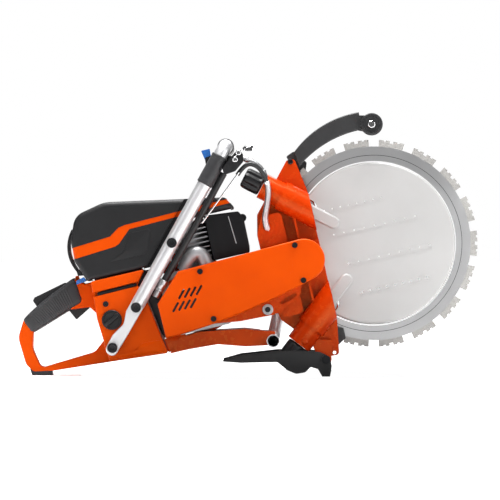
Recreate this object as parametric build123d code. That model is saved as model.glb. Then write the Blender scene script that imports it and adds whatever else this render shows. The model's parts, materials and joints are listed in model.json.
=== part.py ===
"""Ring saw: a petrol power cutter that drives a large diamond ring by its inner edge.

The model is drawn in a machine frame: +X runs forward along the saw, +Z is up, +Y is the saw's
left side, the origin is on the crankshaft axis, and the ring turns in the plane y = 0.
At the end everything is tipped nose-up by TILT, as the saw stands on its rear handle and its
spray guard, and moved so that the floor is z = 0 and the overall box is centred in X and Y.
Lengths are millimetres, angles are degrees.
"""

import math
import os

from build123d import *

# ---------------------------------------------------------------- driving dimensions
TILT = 13.0  # nose-up lean when the saw stands on its own rests
RING_HEIGHT = 236.0  # ring centre above the floor

# cutting ring
RING_R = 185.0  # over the diamond segments
SEGMENT_HEIGHT = 12.0
SEGMENT_T = 4.6
SEGMENT_COUNT = 18
SEGMENT_SPAN = 14.2  # degrees of arc
CORE_BAND = 26.0  # radial width of the steel core
CORE_T = 3.4
GUIDE_BAND = 11.5  # ground band at the bore that the wheels grip
GUIDE_T = 3.0
RUNNING_GAP = 0.3  # between the ring and whatever rolls on it

# drive train
BELT_CENTRES = 195.0
BELT_RISE = 6.2  # the driven shaft stands higher than the crankshaft
WHEEL_ROOT_R = 17.2
WHEEL_FLANGE_R = 27.0
WHEEL_FLANGE_T = 6.0
SHAFT_R = 7.5
BEARING_R = 16.0
BEARING_W = 9.0
PULLEY_R = 20.0
DRUM_R = 32.0
BELT_W = 14.0
BELT_T = 4.0
BELT_Y = -73.0  # middle of the belt
FIT_GAP = 0.05  # radial clearance of a running fit
SLIDE_GAP = 0.3  # loose clearance between covers and what moves under them

# guide rollers and their adjusters
ADJUSTER_ANGLE = 40.0  # each side of the rearward direction, seen from the ring centre
ADJUSTER_Y = -34.6
ADJUSTER_R = 26.5  # inner stage of the housing's cylinder
ADJUSTER_NECK_R = 23.0  # outer stage
ADJUSTER_BORE_R = 16.0
ADJUSTER_TRAVEL = 3.0
NECK_LENGTH = 37.0
CAP_T = 6.0
ROLLER_ROOT_R = 10.0
ROLLER_FLANGE_R = 16.0
ROLLER_FLANGE_T = 3.2
AXLE_R = 5.0
BOSS_R = 8.0
KNOB_R = 20.0
KNOB_LENGTH = 36.0
STEM_R = 6.0

# widths across the saw
HOUSING_PLATE = (-16.0, -8.0)
HOUSING_BODY_Y = -44.0
GUARD_FACE_Y = -90.0
GUARD_BACK_Y = -59.0
GUARD_WALL = 3.0
TANK_Y = (-60.0, 90.0)
TANK_WALL = 4.0
GRIP_Y = 15.0  # middle plane of the rear handle
LOOP_HALF = 15.0  # half the width of the rear handle loop
HANDLE_NEAR_Y = -78.0
HANDLE_FAR_Y = 134.0

# tubes
HANDLE_R = 12.5
HANDLE_WALL = 2.0
HANDLE_LEAN = 48.0  # slope of the front handle's struts
SLEEVE_T = 2.2
INLET_R = 6.2
OUTLET_R = 3.9
SLEEVE_WIRE_T = 1.4
SUPPORT_R = 11.5

# ---------------------------------------------------------------- derived places
CORE_R = RING_R - SEGMENT_HEIGHT
BORE_R = CORE_R - CORE_BAND
GUIDE_R = BORE_R + GUIDE_BAND
DRIVE_X = BELT_CENTRES * math.cos(math.radians(BELT_RISE))
DRIVE_Z = BELT_CENTRES * math.sin(math.radians(BELT_RISE))
RING_X = DRIVE_X + BORE_R - RUNNING_GAP - WHEEL_ROOT_R
RING_Z = DRIVE_Z
ROLLER_AT = BORE_R - RUNNING_GAP - ROLLER_ROOT_R  # roller axis, from the ring centre
ADJUSTER_STEP = RING_R + 2.0  # where the cylinder necks down, just outside the ring
ADJUSTER_END = ADJUSTER_STEP + NECK_LENGTH
HOUSING_FRONT = RING_X - BORE_R * 0.646  # flat front edge of the roller housing
GROOVE_HALF = GUIDE_T / 2 + RUNNING_GAP
DISC_R = BORE_R - 2.0
STRUT_FOOT = (-113.3, 5.7)  # middle bolt of the front handle's right strut
STRUT_LENGTH = 325.0  # from that bolt up to the top bar
STRUT_HEEL = (-169.7, -54.2)


# ---------------------------------------------------------------- drawing helpers
def side(y):
    """Drawing plane across the saw at that y: local x is X, local y is Z, and it faces -Y."""
    return Plane(origin=(0, y, 0), x_dir=(1, 0, 0), z_dir=(0, -1, 0))


def slab(outline, y_low, y_high):
    """Prism of a side outline between two y planes."""
    return extrude(side(y_high) * outline, amount=y_high - y_low)


def outline(*points, r=0.0):
    """Closed outline with every corner rounded by r, or by its own radius where r is a list."""
    if isinstance(r, (int, float)) and r == 0:
        return make_face(Polyline(*points, close=True))
    return make_face(FilletPolyline(*points, radius=r, close=True))


def disc(x, z, radius, y_low, y_high):
    """Round slab across the saw."""
    return slab(Pos(x, z) * Circle(radius), y_low, y_high)


def ring_of(x, z, outer, inner, y_low, y_high):
    """Round slab with a concentric hole."""
    return slab(Pos(x, z) * (Circle(outer) - Circle(inner)), y_low, y_high)


def rod(start, end, radius):
    """Round bar between two points."""
    direction = Vector(*end) - Vector(*start)
    return extrude(Plane(origin=start, z_dir=direction) * Circle(radius), amount=direction.length)


def tube_along(points, radii, radius, hole=0.0):
    """Round bar or tube along straight runs joined by arcs."""
    path = FilletPolyline(*points, radius=radii)
    start = Plane(origin=path @ 0, z_dir=path % 0)
    section = Circle(radius) - Circle(hole) if hole else Circle(radius)
    return sweep(start * section, path=path)


def soften(shape, faces, radius):
    """Rounds every edge of the given faces."""
    edges = ShapeList([e for f in faces for e in f.edges()])
    return fillet(edges, radius)


def both_faces(shape):
    """The two flat faces that look along +Y and -Y."""
    found = shape.faces().filter_by(Axis.Y).sort_by(Axis.Y)
    return [found[0], found[-1]]


def strut_point(along, off=0.0):
    """Point on the front handle's strut line, measured from its middle bolt, and off to the front."""
    c, s = math.cos(math.radians(HANDLE_LEAN)), math.sin(math.radians(HANDLE_LEAN))
    return (STRUT_FOOT[0] + along * c + off * s, STRUT_FOOT[1] + along * s - off * c)


STRUT_TOP = strut_point(STRUT_LENGTH)


def radial(side_sign, distance):
    """Point on an adjuster's axis: side_sign +1 above, -1 below, distance from the ring centre."""
    a = math.radians(180.0 - side_sign * ADJUSTER_ANGLE)
    return (RING_X + distance * math.cos(a), RING_Z + distance * math.sin(a))


def radial_bar(side_sign, near, far, radius, y=ADJUSTER_Y):
    """Round bar along an adjuster's axis."""
    a, b = radial(side_sign, near), radial(side_sign, far)
    return rod((a[0], y, a[1]), (b[0], y, b[1]), radius)


def radial_slot(side_sign, near, far, half_width, y_low, y_high):
    """Obround through the plates along an adjuster's axis."""
    a, b = radial(side_sign, near), radial(side_sign, far)
    ends = [disc(*p, half_width, y_low, y_high) for p in (a, b)]
    mid = ((a[0] + b[0]) / 2, (a[1] + b[1]) / 2)
    angle = 180.0 - side_sign * ADJUSTER_ANGLE
    bar = slab(Pos(*mid) * Rot(0, 0, angle) * Rectangle(far - near, 2 * half_width), y_low, y_high)
    return ends[0] + ends[1] + bar


def screw_head(x, z, y_face, radius, height, socket=0.5):
    """Cap screw head that stands out of a face towards -Y, with its hexagon socket."""
    head = disc(x, z, radius, y_face - height, y_face)
    hexagon = slab(Pos(x, z) * RegularPolygon(radius * socket, 6), y_face - height, y_face - height / 2)
    return head - hexagon


# ---------------------------------------------------------------- cutting ring
def make_ring_core():
    band = ring_of(RING_X, RING_Z, CORE_R, GUIDE_R, -CORE_T / 2, CORE_T / 2)
    return band + ring_of(RING_X, RING_Z, GUIDE_R, BORE_R, -GUIDE_T / 2, GUIDE_T / 2)


def make_ring_segments():
    half = math.radians(SEGMENT_SPAN / 2)
    notches = [(-3.9, 1.3, 2.2), (0.0, 2.0, 4.5), (3.9, 1.3, 2.2)]  # angle, width, depth
    sector = Circle(RING_R) - Circle(CORE_R)
    reach = RING_R * 1.2
    wedge = make_face(
        Polyline(
            (0, 0),
            (reach * math.cos(half), -reach * math.sin(half)),
            (reach * math.cos(half), reach * math.sin(half)),
            close=True,
        )
    )
    tooth = sector & wedge
    for angle, width, depth in notches:
        arc = RING_R * math.radians(width)
        cut = Rot(0, 0, angle) * Pos(RING_R, 0) * Rectangle(2 * depth, arc)
        tooth = tooth - cut
    teeth = []
    for i in range(SEGMENT_COUNT):
        turned = Pos(RING_X, RING_Z) * Rot(0, 0, i * 360 / SEGMENT_COUNT - TILT) * tooth
        teeth.append(slab(turned, -SEGMENT_T / 2, SEGMENT_T / 2))
    return Compound(children=teeth)


# ---------------------------------------------------------------- water disc
DISC_SHEET = (-8.0, -6.2)
DISC_BEAD_R = 4.0
DISC_TAB_X = HOUSING_FRONT - 6.0  # how far the disc reaches under the housing
TONGUE_R = 11.5
TONGUE_RISE = 4.0
TONGUE_TIP = 82.0
RIB_W = 7.6
RIB_RISE = 0.8
DISC_RIBS = [(-29.0, 77.0, 134.0), (8.0, 31.0, 164.0), (22.0, -25.0, 164.0), (19.0, -80.0, 134.0)]
RIB_HOLES = 9
RIB_HOLE_R = 1.2


def make_water_disc():
    y_low, y_high = DISC_SHEET
    sheet = disc(RING_X, RING_Z, DISC_R - DISC_BEAD_R, y_low, y_high)
    bead_y = y_low + DISC_BEAD_R
    bead_plane = Plane(origin=(RING_X, bead_y, RING_Z), z_dir=(0, -1, 0), x_dir=(1, 0, 0))
    bead = bead_plane * Torus(DISC_R - DISC_BEAD_R, DISC_BEAD_R)
    body = sheet + bead
    for x, z, length in DISC_RIBS:
        rib = Pos(RING_X + x, RING_Z + z) * SlotOverall(length, RIB_W)
        body += slab(rib, y_low - RIB_RISE, y_low + 0.5)
        pitch = (length - 2 * RIB_W) / (RIB_HOLES - 1)
        first = RING_X + x - (RIB_HOLES - 1) * pitch / 2
        for i in range(RIB_HOLES):
            body -= disc(first + i * pitch, RING_Z + z, RIB_HOLE_R, y_low - 3, y_high + 3)
    for s in (1, -1):
        tongue = radial_slot(s, TONGUE_TIP, ROLLER_AT, TONGUE_R, y_low - TONGUE_RISE, y_low + 0.5)
        near = [e for f in both_faces(tongue)[:1] for e in f.edges()]
        tongue = chamfer(ShapeList(near), TONGUE_RISE * 0.7)
        ahead = Pos(HOUSING_FRONT + 1.5 + RING_R, 0, RING_Z) * Box(2 * RING_R, 200, 4 * RING_R)
        body += tongue & ahead
    behind = Pos(DISC_TAB_X - RING_R, 0, RING_Z) * Box(2 * RING_R, 100, 4 * RING_R)
    body -= behind
    clear = ROLLER_FLANGE_R + 2.0
    for s in (1, -1):
        body -= radial_slot(s, ROLLER_AT - ADJUSTER_TRAVEL, ROLLER_AT, clear, y_low - 0.01, 20)
    return body


# ---------------------------------------------------------------- drive train
def lathe(x, z, profile):
    """Turns a profile of (radius, y) points about the line along Y through x, z."""
    flat = Plane(origin=(x, 0, z), x_dir=(1, 0, 0), z_dir=(0, 0, 1))
    face = flat * make_face(Polyline(*profile, close=True))
    return revolve(face, axis=Axis((x, 0, z), (0, 1, 0)))


def make_drive_wheel():
    lip = GROOVE_HALF + 1.2  # the groove opens towards its rim
    out = GROOVE_HALF + WHEEL_FLANGE_T
    bore = SHAFT_R + FIT_GAP
    return lathe(
        DRIVE_X,
        DRIVE_Z,
        [
            (bore, -out),
            (WHEEL_FLANGE_R - 2, -out),
            (WHEEL_FLANGE_R, -out + 2),
            (WHEEL_FLANGE_R, -lip),
            (WHEEL_ROOT_R, -GROOVE_HALF),
            (WHEEL_ROOT_R, GROOVE_HALF),
            (WHEEL_FLANGE_R, lip),
            (WHEEL_FLANGE_R, out - 2),
            (WHEEL_FLANGE_R - 2, out),
            (bore, out),
        ],
    )


SHAFT_NEAR_Y = BELT_Y - BELT_W / 2 - 3.0
WHEEL_OUT = GROOVE_HALF + WHEEL_FLANGE_T


def make_drive_shaft():
    far = WHEEL_OUT + 4.0
    shaft = disc(DRIVE_X, DRIVE_Z, SHAFT_R, SHAFT_NEAR_Y, far)
    nut = slab(Pos(DRIVE_X, DRIVE_Z) * RegularPolygon(SHAFT_R + 3.5, 6), WHEEL_OUT + 0.2, far)
    return shaft + nut


def make_drive_pulley():
    half = BELT_W / 2
    body = ring_of(DRIVE_X, DRIVE_Z, PULLEY_R, SHAFT_R + FIT_GAP, BELT_Y - half, BELT_Y + half)
    rim = PULLEY_R + 2.5
    for low, high in ((BELT_Y - half - 1.5, BELT_Y - half), (BELT_Y + half, BELT_Y + half + 1.5)):
        body += ring_of(DRIVE_X, DRIVE_Z, rim, SHAFT_R + FIT_GAP, low, high)
    return body


def make_clutch_drum():
    half = BELT_W / 2
    body = disc(0, 0, DRUM_R, BELT_Y - half, BELT_Y + half)
    body -= disc(0, 0, DRUM_R - 6, BELT_Y - half - 1, BELT_Y + half - 4)
    body -= disc(0, 0, CRANK_R + FIT_GAP, BELT_Y - 20, BELT_Y + 20)
    for low, high in ((BELT_Y - half - 1.5, BELT_Y - half), (BELT_Y + half, BELT_Y + half + 1.5)):
        body += ring_of(0, 0, DRUM_R + 2.5, DRUM_R - 6, low, high)
    return body


def make_drive_belt():
    """Flat ribbed belt round the drum and the pulley, a hair clear of both."""
    inner = tangent_loop(DRUM_R + 0.1, PULLEY_R + 0.1)
    outer = tangent_loop(DRUM_R + 0.1 + BELT_T, PULLEY_R + 0.1 + BELT_T)
    half = BELT_W / 2 - 0.2
    return slab(outer - inner, BELT_Y - half, BELT_Y + half)


def tangent_loop(r_crank, r_drive):
    """Outline of two circles on the belt centres and the lines that touch both outside."""
    turn = math.degrees(math.acos((r_crank - r_drive) / BELT_CENTRES))
    loop = Circle(r_crank) + Pos(DRIVE_X, DRIVE_Z) * Circle(r_drive)
    corners = []
    for sign in (1, -1):
        a = math.radians(BELT_RISE + sign * turn)
        corners.append((r_crank * math.cos(a), r_crank * math.sin(a)))
        corners.append((DRIVE_X + r_drive * math.cos(a), DRIVE_Z + r_drive * math.sin(a)))
    fill = make_face(Polyline(corners[0], corners[1], corners[3], corners[2], close=True))
    return loop + fill


CRANK_R = 7.5
WEB_R = 36.0
CASE_Y = (-50.0, 74.0)
CYLINDER_Y = 15.0
CYLINDER_X = 6.0


def make_crankshaft():
    shaft = disc(0, 0, CRANK_R, BELT_Y - BELT_W / 2 - 4, CASE_Y[1] + 14)
    for low, high in ((CYLINDER_Y - 22, CYLINDER_Y - 9), (CYLINDER_Y + 9, CYLINDER_Y + 22)):
        shaft += disc(0, 0, WEB_R, low, high)
    return shaft


def make_flywheel():
    low = CASE_Y[1] + 3
    body = ring_of(0, 0, 58, CRANK_R + FIT_GAP, low, low + 5)
    body += ring_of(0, 0, 20, CRANK_R + FIT_GAP, low, low + 11)
    for i in range(12):
        vane = Rot(0, 0, i * 30) * Pos(40, 0) * Rot(0, 0, 20) * Rectangle(30, 2.5)
        body += slab(vane, low + 4, low + 12)
    return body


def make_ball_bearings():
    places = [
        (DRIVE_X, DRIVE_Z, HOUSING_BEARINGS[0]),
        (DRIVE_X, DRIVE_Z, HOUSING_BEARINGS[1]),
        (0, 0, CASE_Y[0] + 4),
        (0, 0, CASE_Y[1] - 4 - BEARING_W),
    ]
    rings = [
        ring_of(x, z, BEARING_R, SHAFT_R + FIT_GAP, low, low + BEARING_W) for x, z, low in places
    ]
    return Compound(children=rings)


# ---------------------------------------------------------------- roller housing
HOSE_RUN = [
    (118.0, -74.0, 198.0),
    (131.0, -74.0, 210.0),
    (150.0, -72.0, 203.0),
    (160.0, -68.0, 182.0),
    (162.0, -66.0, 156.0),
    (152.0, -63.0, 128.0),
    (141.0, -58.0, 104.0),
    (144.0, -36.0, 86.0),
]
HOSE_RADII = [9.0, 18.0, 24.0, 40.0, 60.0, 12.0]
HOUSING_BEARINGS = (-52.0, -22.0)
CARRIER_R = 24.0
CARRIER_NEAR_Y = -56.0
BRACKET_BOLT = (-112.5, 174.0)  # from the ring centre; the lower bracket mirrors it
SCOOP_PIVOT = (-131.0, -181.0)  # from the ring centre
SCOOP_PIN_R = 5.0


def from_ring(x, z):
    return (RING_X + x, RING_Z + z)


def make_roller_housing():
    front = HOUSING_FRONT - RING_X
    plate_low, plate_high = HOUSING_PLATE
    upper = [(front, 118), (-105, 179), (-119, 179), (-148, 146), (-192, 96), (-200, 60)]
    lower = [(x, -z) for x, z in reversed(upper)]
    rim = [from_ring(x, z) for x, z in upper + lower]
    body = slab(outline(*rim, r=6.0), plate_low, plate_high)
    # thick rear block that carries the pivot of the whole cutting head
    block = [(-200, 60), (-186, 92), (-150, 92), (-150, -92), (-186, -92), (-200, -60)]
    body += slab(outline(*[from_ring(*p) for p in block], r=8.0), HOUSING_BODY_Y, plate_low + 1)
    tongue = [(-224, 28), (-180, 28), (-180, -82), (-224, -82)]
    body += slab(outline(*[from_ring(*p) for p in tongue], r=8.0), ARM_Y[1], HOUSING_BODY_Y + 4)
    for s in (1, -1):
        body += radial_bar(s, BORE_R * 0.7, ADJUSTER_STEP, ADJUSTER_R)
        body += radial_bar(s, ADJUSTER_STEP - 1, ADJUSTER_END, ADJUSTER_NECK_R)
        rib = [(-131, s * 20), (-127, s * 20), (-127, s * 84), (-131, s * 84)]
        body += slab(outline(*[from_ring(*p) for p in rib]), HOUSING_BODY_Y, plate_low + 1)
    body += disc(DRIVE_X, DRIVE_Z, CARRIER_R, CARRIER_NEAR_Y, plate_low + 1)
    body += disc(153, 47, 24, HOUSING_BODY_Y - 4, HOUSING_BODY_Y + 1)
    web = [(-200, 34), (-95, 30), (-95, -30), (-200, -34)]
    body += slab(outline(*[from_ring(*p) for p in web]), -30, plate_low + 1)
    # lugs for the spray guard's pin, under the lower bracket
    px, pz = from_ring(*SCOOP_PIVOT)
    lug = [(-150, -140), (-112, -150), (SCOOP_PIVOT[0] + 10, -184), (SCOOP_PIVOT[0] - 10, -188)]
    body += slab(outline(*[from_ring(*p) for p in lug], r=3.0), -40, plate_high)
    body += disc(px, pz, 11, -40, plate_high)
    body -= disc(px, pz, SCOOP_PIN_R + FIT_GAP, -60, 10)
    # everything is cut off square in front
    body -= Pos(HOUSING_FRONT + 100, 0, RING_Z) * Box(200, 200, 500)
    # the ring must run free behind the plate
    body -= disc(RING_X, RING_Z, RING_R + 3, -SEGMENT_T / 2 - 2, 30)
    for s in (1, -1):
        body -= radial_bar(s, BORE_R * 0.5, ADJUSTER_END - CAP_T, ADJUSTER_BORE_R)
        body -= radial_bar(s, BORE_R, ADJUSTER_END + 5, STEM_R + FIT_GAP)
        near, far = ROLLER_AT - ADJUSTER_TRAVEL - 6, ROLLER_AT
        body -= radial_slot(s, near, far, BOSS_R + 0.5, ADJUSTER_Y, 5)
        bolt = from_ring(BRACKET_BOLT[0], s * BRACKET_BOLT[1])
        body -= disc(*bolt, 3.1, -20, 0)
    body -= disc(DRIVE_X, DRIVE_Z, SHAFT_R + 1.5, -60, 10)
    for low in HOUSING_BEARINGS:
        body -= disc(DRIVE_X, DRIVE_Z, BEARING_R, low, low + BEARING_W)
    body -= disc(DRIVE_X, DRIVE_Z, BEARING_R, CARRIER_NEAR_Y - 1, HOUSING_BEARINGS[0])
    body -= disc(DRIVE_X, DRIVE_Z, WHEEL_FLANGE_R + 1.5, -WHEEL_OUT - 1.2, 10)
    for x, z in TENSION_SLOTS:
        body -= disc(x, z, 4.05, -60, 0)
    a, b = Vector(*HOSE_RUN[-2]), Vector(*HOSE_RUN[-1])
    body -= rod(a, b + (b - a).normalized() * 3, OUTLET_R + SLEEVE_WIRE_T + 0.3)
    return body


COVER_PLATE = (10.0, 13.0)


def make_roller_cover():
    """Plate on the far side that closes the rollers in, standing on four posts behind the ring."""
    front = HOUSING_FRONT - RING_X + 8
    shape = [(front, 112), (-150, 122), (-196, 60), (-196, -60), (-150, -122), (front, -112)]
    plate = slab(outline(*[from_ring(*p) for p in shape], r=12.0), *COVER_PLATE)
    plate = soften(plate, [both_faces(plate)[1]], 2.0)
    raised = [(-112, 52), (-160, 58), (-176, 40), (-176, -40), (-160, -58), (-112, -52)]
    plate += slab(outline(*[from_ring(*p) for p in raised], r=8.0), COVER_PLATE[1] - 1, 16.0)
    for x, z in COVER_POSTS:
        plate += disc(*from_ring(x, z), 6.0, HOUSING_PLATE[1], COVER_PLATE[0] + 1)
    plate -= disc(DRIVE_X, DRIVE_Z, 15, -20, 40)
    return plate


COVER_POSTS = [(-192.0, 40.0), (-192.0, -40.0)]


def make_roller_arm(s):
    bar = radial_bar(s, ROLLER_AT + 2, ADJUSTER_END - CAP_T - 3, ADJUSTER_BORE_R - SLIDE_GAP)
    c = radial(s, ROLLER_AT)
    boss_end = -ROLLER_HALF - 0.2
    bar += disc(*c, BOSS_R, ADJUSTER_Y, boss_end)
    bar += disc(*c, AXLE_R, boss_end - 1, ROLLER_HALF + 0.2)
    bar += disc(*c, AXLE_R + 2, ROLLER_HALF + 0.2, ROLLER_HALF + 3)
    bar -= radial_bar(s, ADJUSTER_END - 40, ADJUSTER_END, STEM_R + FIT_GAP)
    return bar


ROLLER_HALF = GROOVE_HALF + ROLLER_FLANGE_T


def make_guide_roller(s):
    x, z = radial(s, ROLLER_AT)
    bore, lip = AXLE_R + FIT_GAP, GROOVE_HALF + 0.8
    return lathe(
        x,
        z,
        [
            (bore, -ROLLER_HALF),
            (ROLLER_FLANGE_R, -ROLLER_HALF),
            (ROLLER_FLANGE_R, -lip),
            (ROLLER_ROOT_R, -GROOVE_HALF),
            (ROLLER_ROOT_R, GROOVE_HALF),
            (ROLLER_FLANGE_R, lip),
            (ROLLER_FLANGE_R, ROLLER_HALF),
            (bore, ROLLER_HALF),
        ],
    )


def make_adjuster_knob(s):
    """Six-lobed knob with the screw that draws the roller arm."""
    start = radial(s, ADJUSTER_END + 0.5)
    a = math.radians(180.0 - s * ADJUSTER_ANGLE)
    face = Plane(origin=(start[0], ADJUSTER_Y, start[1]), z_dir=(math.cos(a), 0, math.sin(a)))
    body = Pos(0, 0, KNOB_LENGTH / 2) * Cylinder(KNOB_R, KNOB_LENGTH)
    body = chamfer(body.edges().filter_by(GeomType.CIRCLE), 3.0)
    for i in range(6):
        lobe = Pos(0, 0, KNOB_LENGTH / 2) * Rot(0, 0, i * 60) * Pos(KNOB_R + 4.0, 0)
        body -= lobe * Cylinder(6.5, KNOB_LENGTH + 2)
    body = face.location * body
    stem = extrude(face.offset(-30.0) * Circle(STEM_R), amount=32.0)
    return body + stem


# ---------------------------------------------------------------- belt guard and drive arm
GUARD_END_R = 37.0
GUARD_SCREWS = [(10.8, 42.0), (DRIVE_X - 10, DRIVE_Z + 28.5), (15.4, -44.5), (DRIVE_X - 9, DRIVE_Z - 35.0)]
SCREW_R = 5.0
SCREW_HEAD = 4.0


def guard_outline(inset=0.0):
    """Side outline of the belt guard, or of the space inside it."""
    end_r = GUARD_END_R - inset
    a_top, a_low = math.radians(93.0), math.radians(-78.0)
    top = (DRIVE_X + end_r * math.cos(a_top), DRIVE_Z + end_r * math.sin(a_top))
    nose = (DRIVE_X + end_r, DRIVE_Z)
    low = (DRIVE_X + end_r * math.cos(a_low), DRIVE_Z + end_r * math.sin(a_low))
    left_top = (-27 + inset * 0.6, 51 - inset)
    left_mid = (-75 + inset, 3)
    left_low = (-74 + inset, -60 + inset)
    mid_low = (60, -47 + inset)
    edges = [
        ThreePointArc(top, nose, low),
        ThreePointArc(low, mid_low, left_low),
        Line(left_low, left_mid),
        Line(left_mid, left_top),
        Line(left_top, top),
    ]
    return make_face(edges)


def vent_slots():
    """Two rows of slanting slots; the lower row is stepped back."""
    slots = []
    for count, x, z in ((4, -30.0, 10.5), (4, -45.0, -9.5)):
        for i in range(count):
            slots.append(Pos(x + 10.6 * i, z) * Rot(0, 0, HANDLE_LEAN) * SlotOverall(20, 4))
    return slots


def make_belt_guard():
    shell = slab(guard_outline(), GUARD_FACE_Y, GUARD_BACK_Y)
    shell = fillet(shell.faces().filter_by(Axis.Y).sort_by(Axis.Y)[0].edges(), 3.0)
    shell -= slab(guard_outline(GUARD_WALL), GUARD_FACE_Y + GUARD_WALL, GUARD_BACK_Y + 1)
    panel = outline((-14, -22), (4, 2), (174, 28), (171, 6), (146, -6), r=[4, 4, 3, 12, 20])
    shell -= slab(panel, GUARD_FACE_Y - 1, GUARD_FACE_Y + 0.6)
    for slot in vent_slots():
        shell -= slab(slot, GUARD_FACE_Y - 1, GUARD_FACE_Y + GUARD_WALL + 1)
    for x, z in GUARD_SCREWS:
        boss = disc(x, z, 4.5, GUARD_FACE_Y + 1, GUARD_BACK_Y)
        inside = slab(guard_outline(0.5), GUARD_FACE_Y, GUARD_BACK_Y)
        shell += boss & inside
        shell -= disc(x, z, 3.1, GUARD_FACE_Y - 1, GUARD_BACK_Y + 1)
    return shell


def make_cover_screws():
    """Identical M6 cap screws: four in the belt guard, one in the tank, two in the roller cover."""
    screws = []
    for x, z in GUARD_SCREWS:
        head = screw_head(x, z, GUARD_FACE_Y, SCREW_R, SCREW_HEAD)
        screws.append(head + disc(x, z, 3.0, GUARD_FACE_Y - 0.5, GUARD_BACK_Y - 1))
    x, z = TANK_SCREW
    screws.append(screw_head(x, z, TANK_Y[0], SCREW_R, SCREW_HEAD))
    for cx, cz in COVER_POSTS:
        px, pz = from_ring(cx, cz)
        screws.append(disc(px, pz, SCREW_R, COVER_PLATE[1], COVER_PLATE[1] + SCREW_HEAD))
    return Compound(children=screws)


ARM_Y = (-58.5, -50.2)
TENSION_SLOTS = [(112.0, -50.5), (118.0, 36.0)]


def make_drive_arm():
    """Cast arm between crankcase and roller housing; its slots let the head slide to tension the belt."""
    shape = outline(
        (-50, 38), (136, 52), (158, 46), (162, 0), (180, -20), (176, -36), (158, -48), (120, -62),
        (60, -60), (-40, -46), r=6.0,
    )
    body = slab(shape, *ARM_Y)
    body -= disc(0, 0, 28, -60, -40)
    body -= disc(DRIVE_X, DRIVE_Z, CARRIER_R + 1, -60, -40)
    for x, z in TENSION_SLOTS:
        slot = Pos(x, z) * Rot(0, 0, BELT_RISE) * SlotOverall(18, 8.2)
        body -= slab(slot, -60, -40)
    window = Pos(152, -40) * Rot(0, 0, 15) * SlotOverall(32, 8)
    return body - slab(window, -60, -40)


def make_tension_bolts():
    bolts = []
    for x, z in TENSION_SLOTS:
        face = ARM_Y[0]
        bolt = disc(x, z, 9.0, face - 2, face)
        bolt += screw_head(x, z, face - 2, 4.9, 3.0)
        bolt += disc(x, z, 4.0, face - 1, -34)
        bolts.append(bolt)
    return Compound(children=bolts)


# ---------------------------------------------------------------- tank, rear handle and its controls
TANK_SCREW = (-165.0, 23.4)
FUEL_CAP = (-160.7, -6.5)
FUEL_CAP_R = 18.0
LOCKOUT_PIVOT = (-226.0, 63.0)
TRIGGER_PIVOT = (-212.0, 34.0)
CONTROL_PIN_R = 2.5


def tank_outline(inset=0.0):
    i = inset
    return outline(
        (-182 + i, 68 - i),
        (-84 - i * 1.2, 68 - i),
        (-103 - i * 1.2, 44),
        (-91 - i, 2),
        (-77 - i, -86 + i),
        (-181 + i, -78 + i),
        (-186 + i, 0),
        r=3.0,
    )


def handle_loop():
    """Closed loop of the rear handle, from the tank's rear wall round to its foot."""
    outer = outline(
        (-176, 67),
        (-196, 67),
        (-203, 75),
        (-213, 79),
        (-296, 40),
        (-318, 27),
        (-334, 0),
        (-331, -50),
        (-321, -66),
        (-289, -72),
        (-176, -80),
        r=[1, 3, 4, 4, 40, 14, 30, 16, 8, 20, 2],
    )
    inner = outline(
        (-304, 6),
        (-237, 28),
        (-197, 24),
        (-186, 8),
        (-184, -38),
        (-206, -56),
        (-306, -62),
        (-313, -26),
        r=[10, 5, 6, 8, 10, 20, 10, 25],
    )
    return outer - inner


def make_tank_and_rear_handle():
    tank = slab(tank_outline(), *TANK_Y)
    tank = soften(tank, both_faces(tank), 2.5)
    loop = slab(handle_loop(), GRIP_Y - LOOP_HALF, GRIP_Y + LOOP_HALF)
    loop = soften(loop, both_faces(loop), 2.8)
    body = tank + loop
    body -= slab(tank_outline(TANK_WALL), TANK_Y[0] + TANK_WALL, TANK_Y[1] - TANK_WALL)
    # channel below the top lip, and the step at the skid
    body -= slab(outline((-190, 40), (-80, 42), (-80, 50), (-190, 48)), TANK_Y[0] - 1, TANK_Y[0] + 10)
    body += slab(outline((-178, 38), (-104, 39), (-103, 51), (-178, 50)), TANK_Y[0] + 10, TANK_Y[0] + 13)
    # neck for the fuel cap
    body += disc(*FUEL_CAP, FUEL_CAP_R - 3, TANK_Y[0], TANK_Y[0] + 14)
    body -= disc(*FUEL_CAP, FUEL_CAP_R - 5.8, TANK_Y[0] - 1, TANK_Y[0] + 15)
    # slots that the trigger and the lockout work in
    low, high = GRIP_Y - 7, GRIP_Y + 7
    body -= slab(outline((-246, 74), (-218, 86), (-196, 50), (-196, 20), (-238, 20), (-246, 40)), low, high)
    body -= slab(outline((-300, 62), (-214, 96), (-222, 56), (-292, 28)), low, high)
    for x, z in (LOCKOUT_PIVOT, TRIGGER_PIVOT):
        body += disc(x, z, CONTROL_PIN_R, low - 2, high + 2)
    body -= slab(outline((-214, 66), (-200, 62), (-196, 95), (-216, 95)), GRIP_Y - 4.5, GRIP_Y + 4.5)
    body -= disc(*STOP_PIVOT, 3.0 + FIT_GAP, GRIP_Y - 13, GRIP_Y + 13)
    return body


GRIP_T = 3.0
GRIP_ENDS = [(-311.0, 17.0), (-209.0, 53.0)]


def grip_outline(grow):
    g = grow
    return outline(
        (-315 - g * 0.3, 26 + g),
        (-296, 40 + g),
        (-213, 78 + g),
        (-207, 33.5 - g),
        (-237, 28 - g),
        (-303 - g * 0.3, 6 - g),
    )


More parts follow.
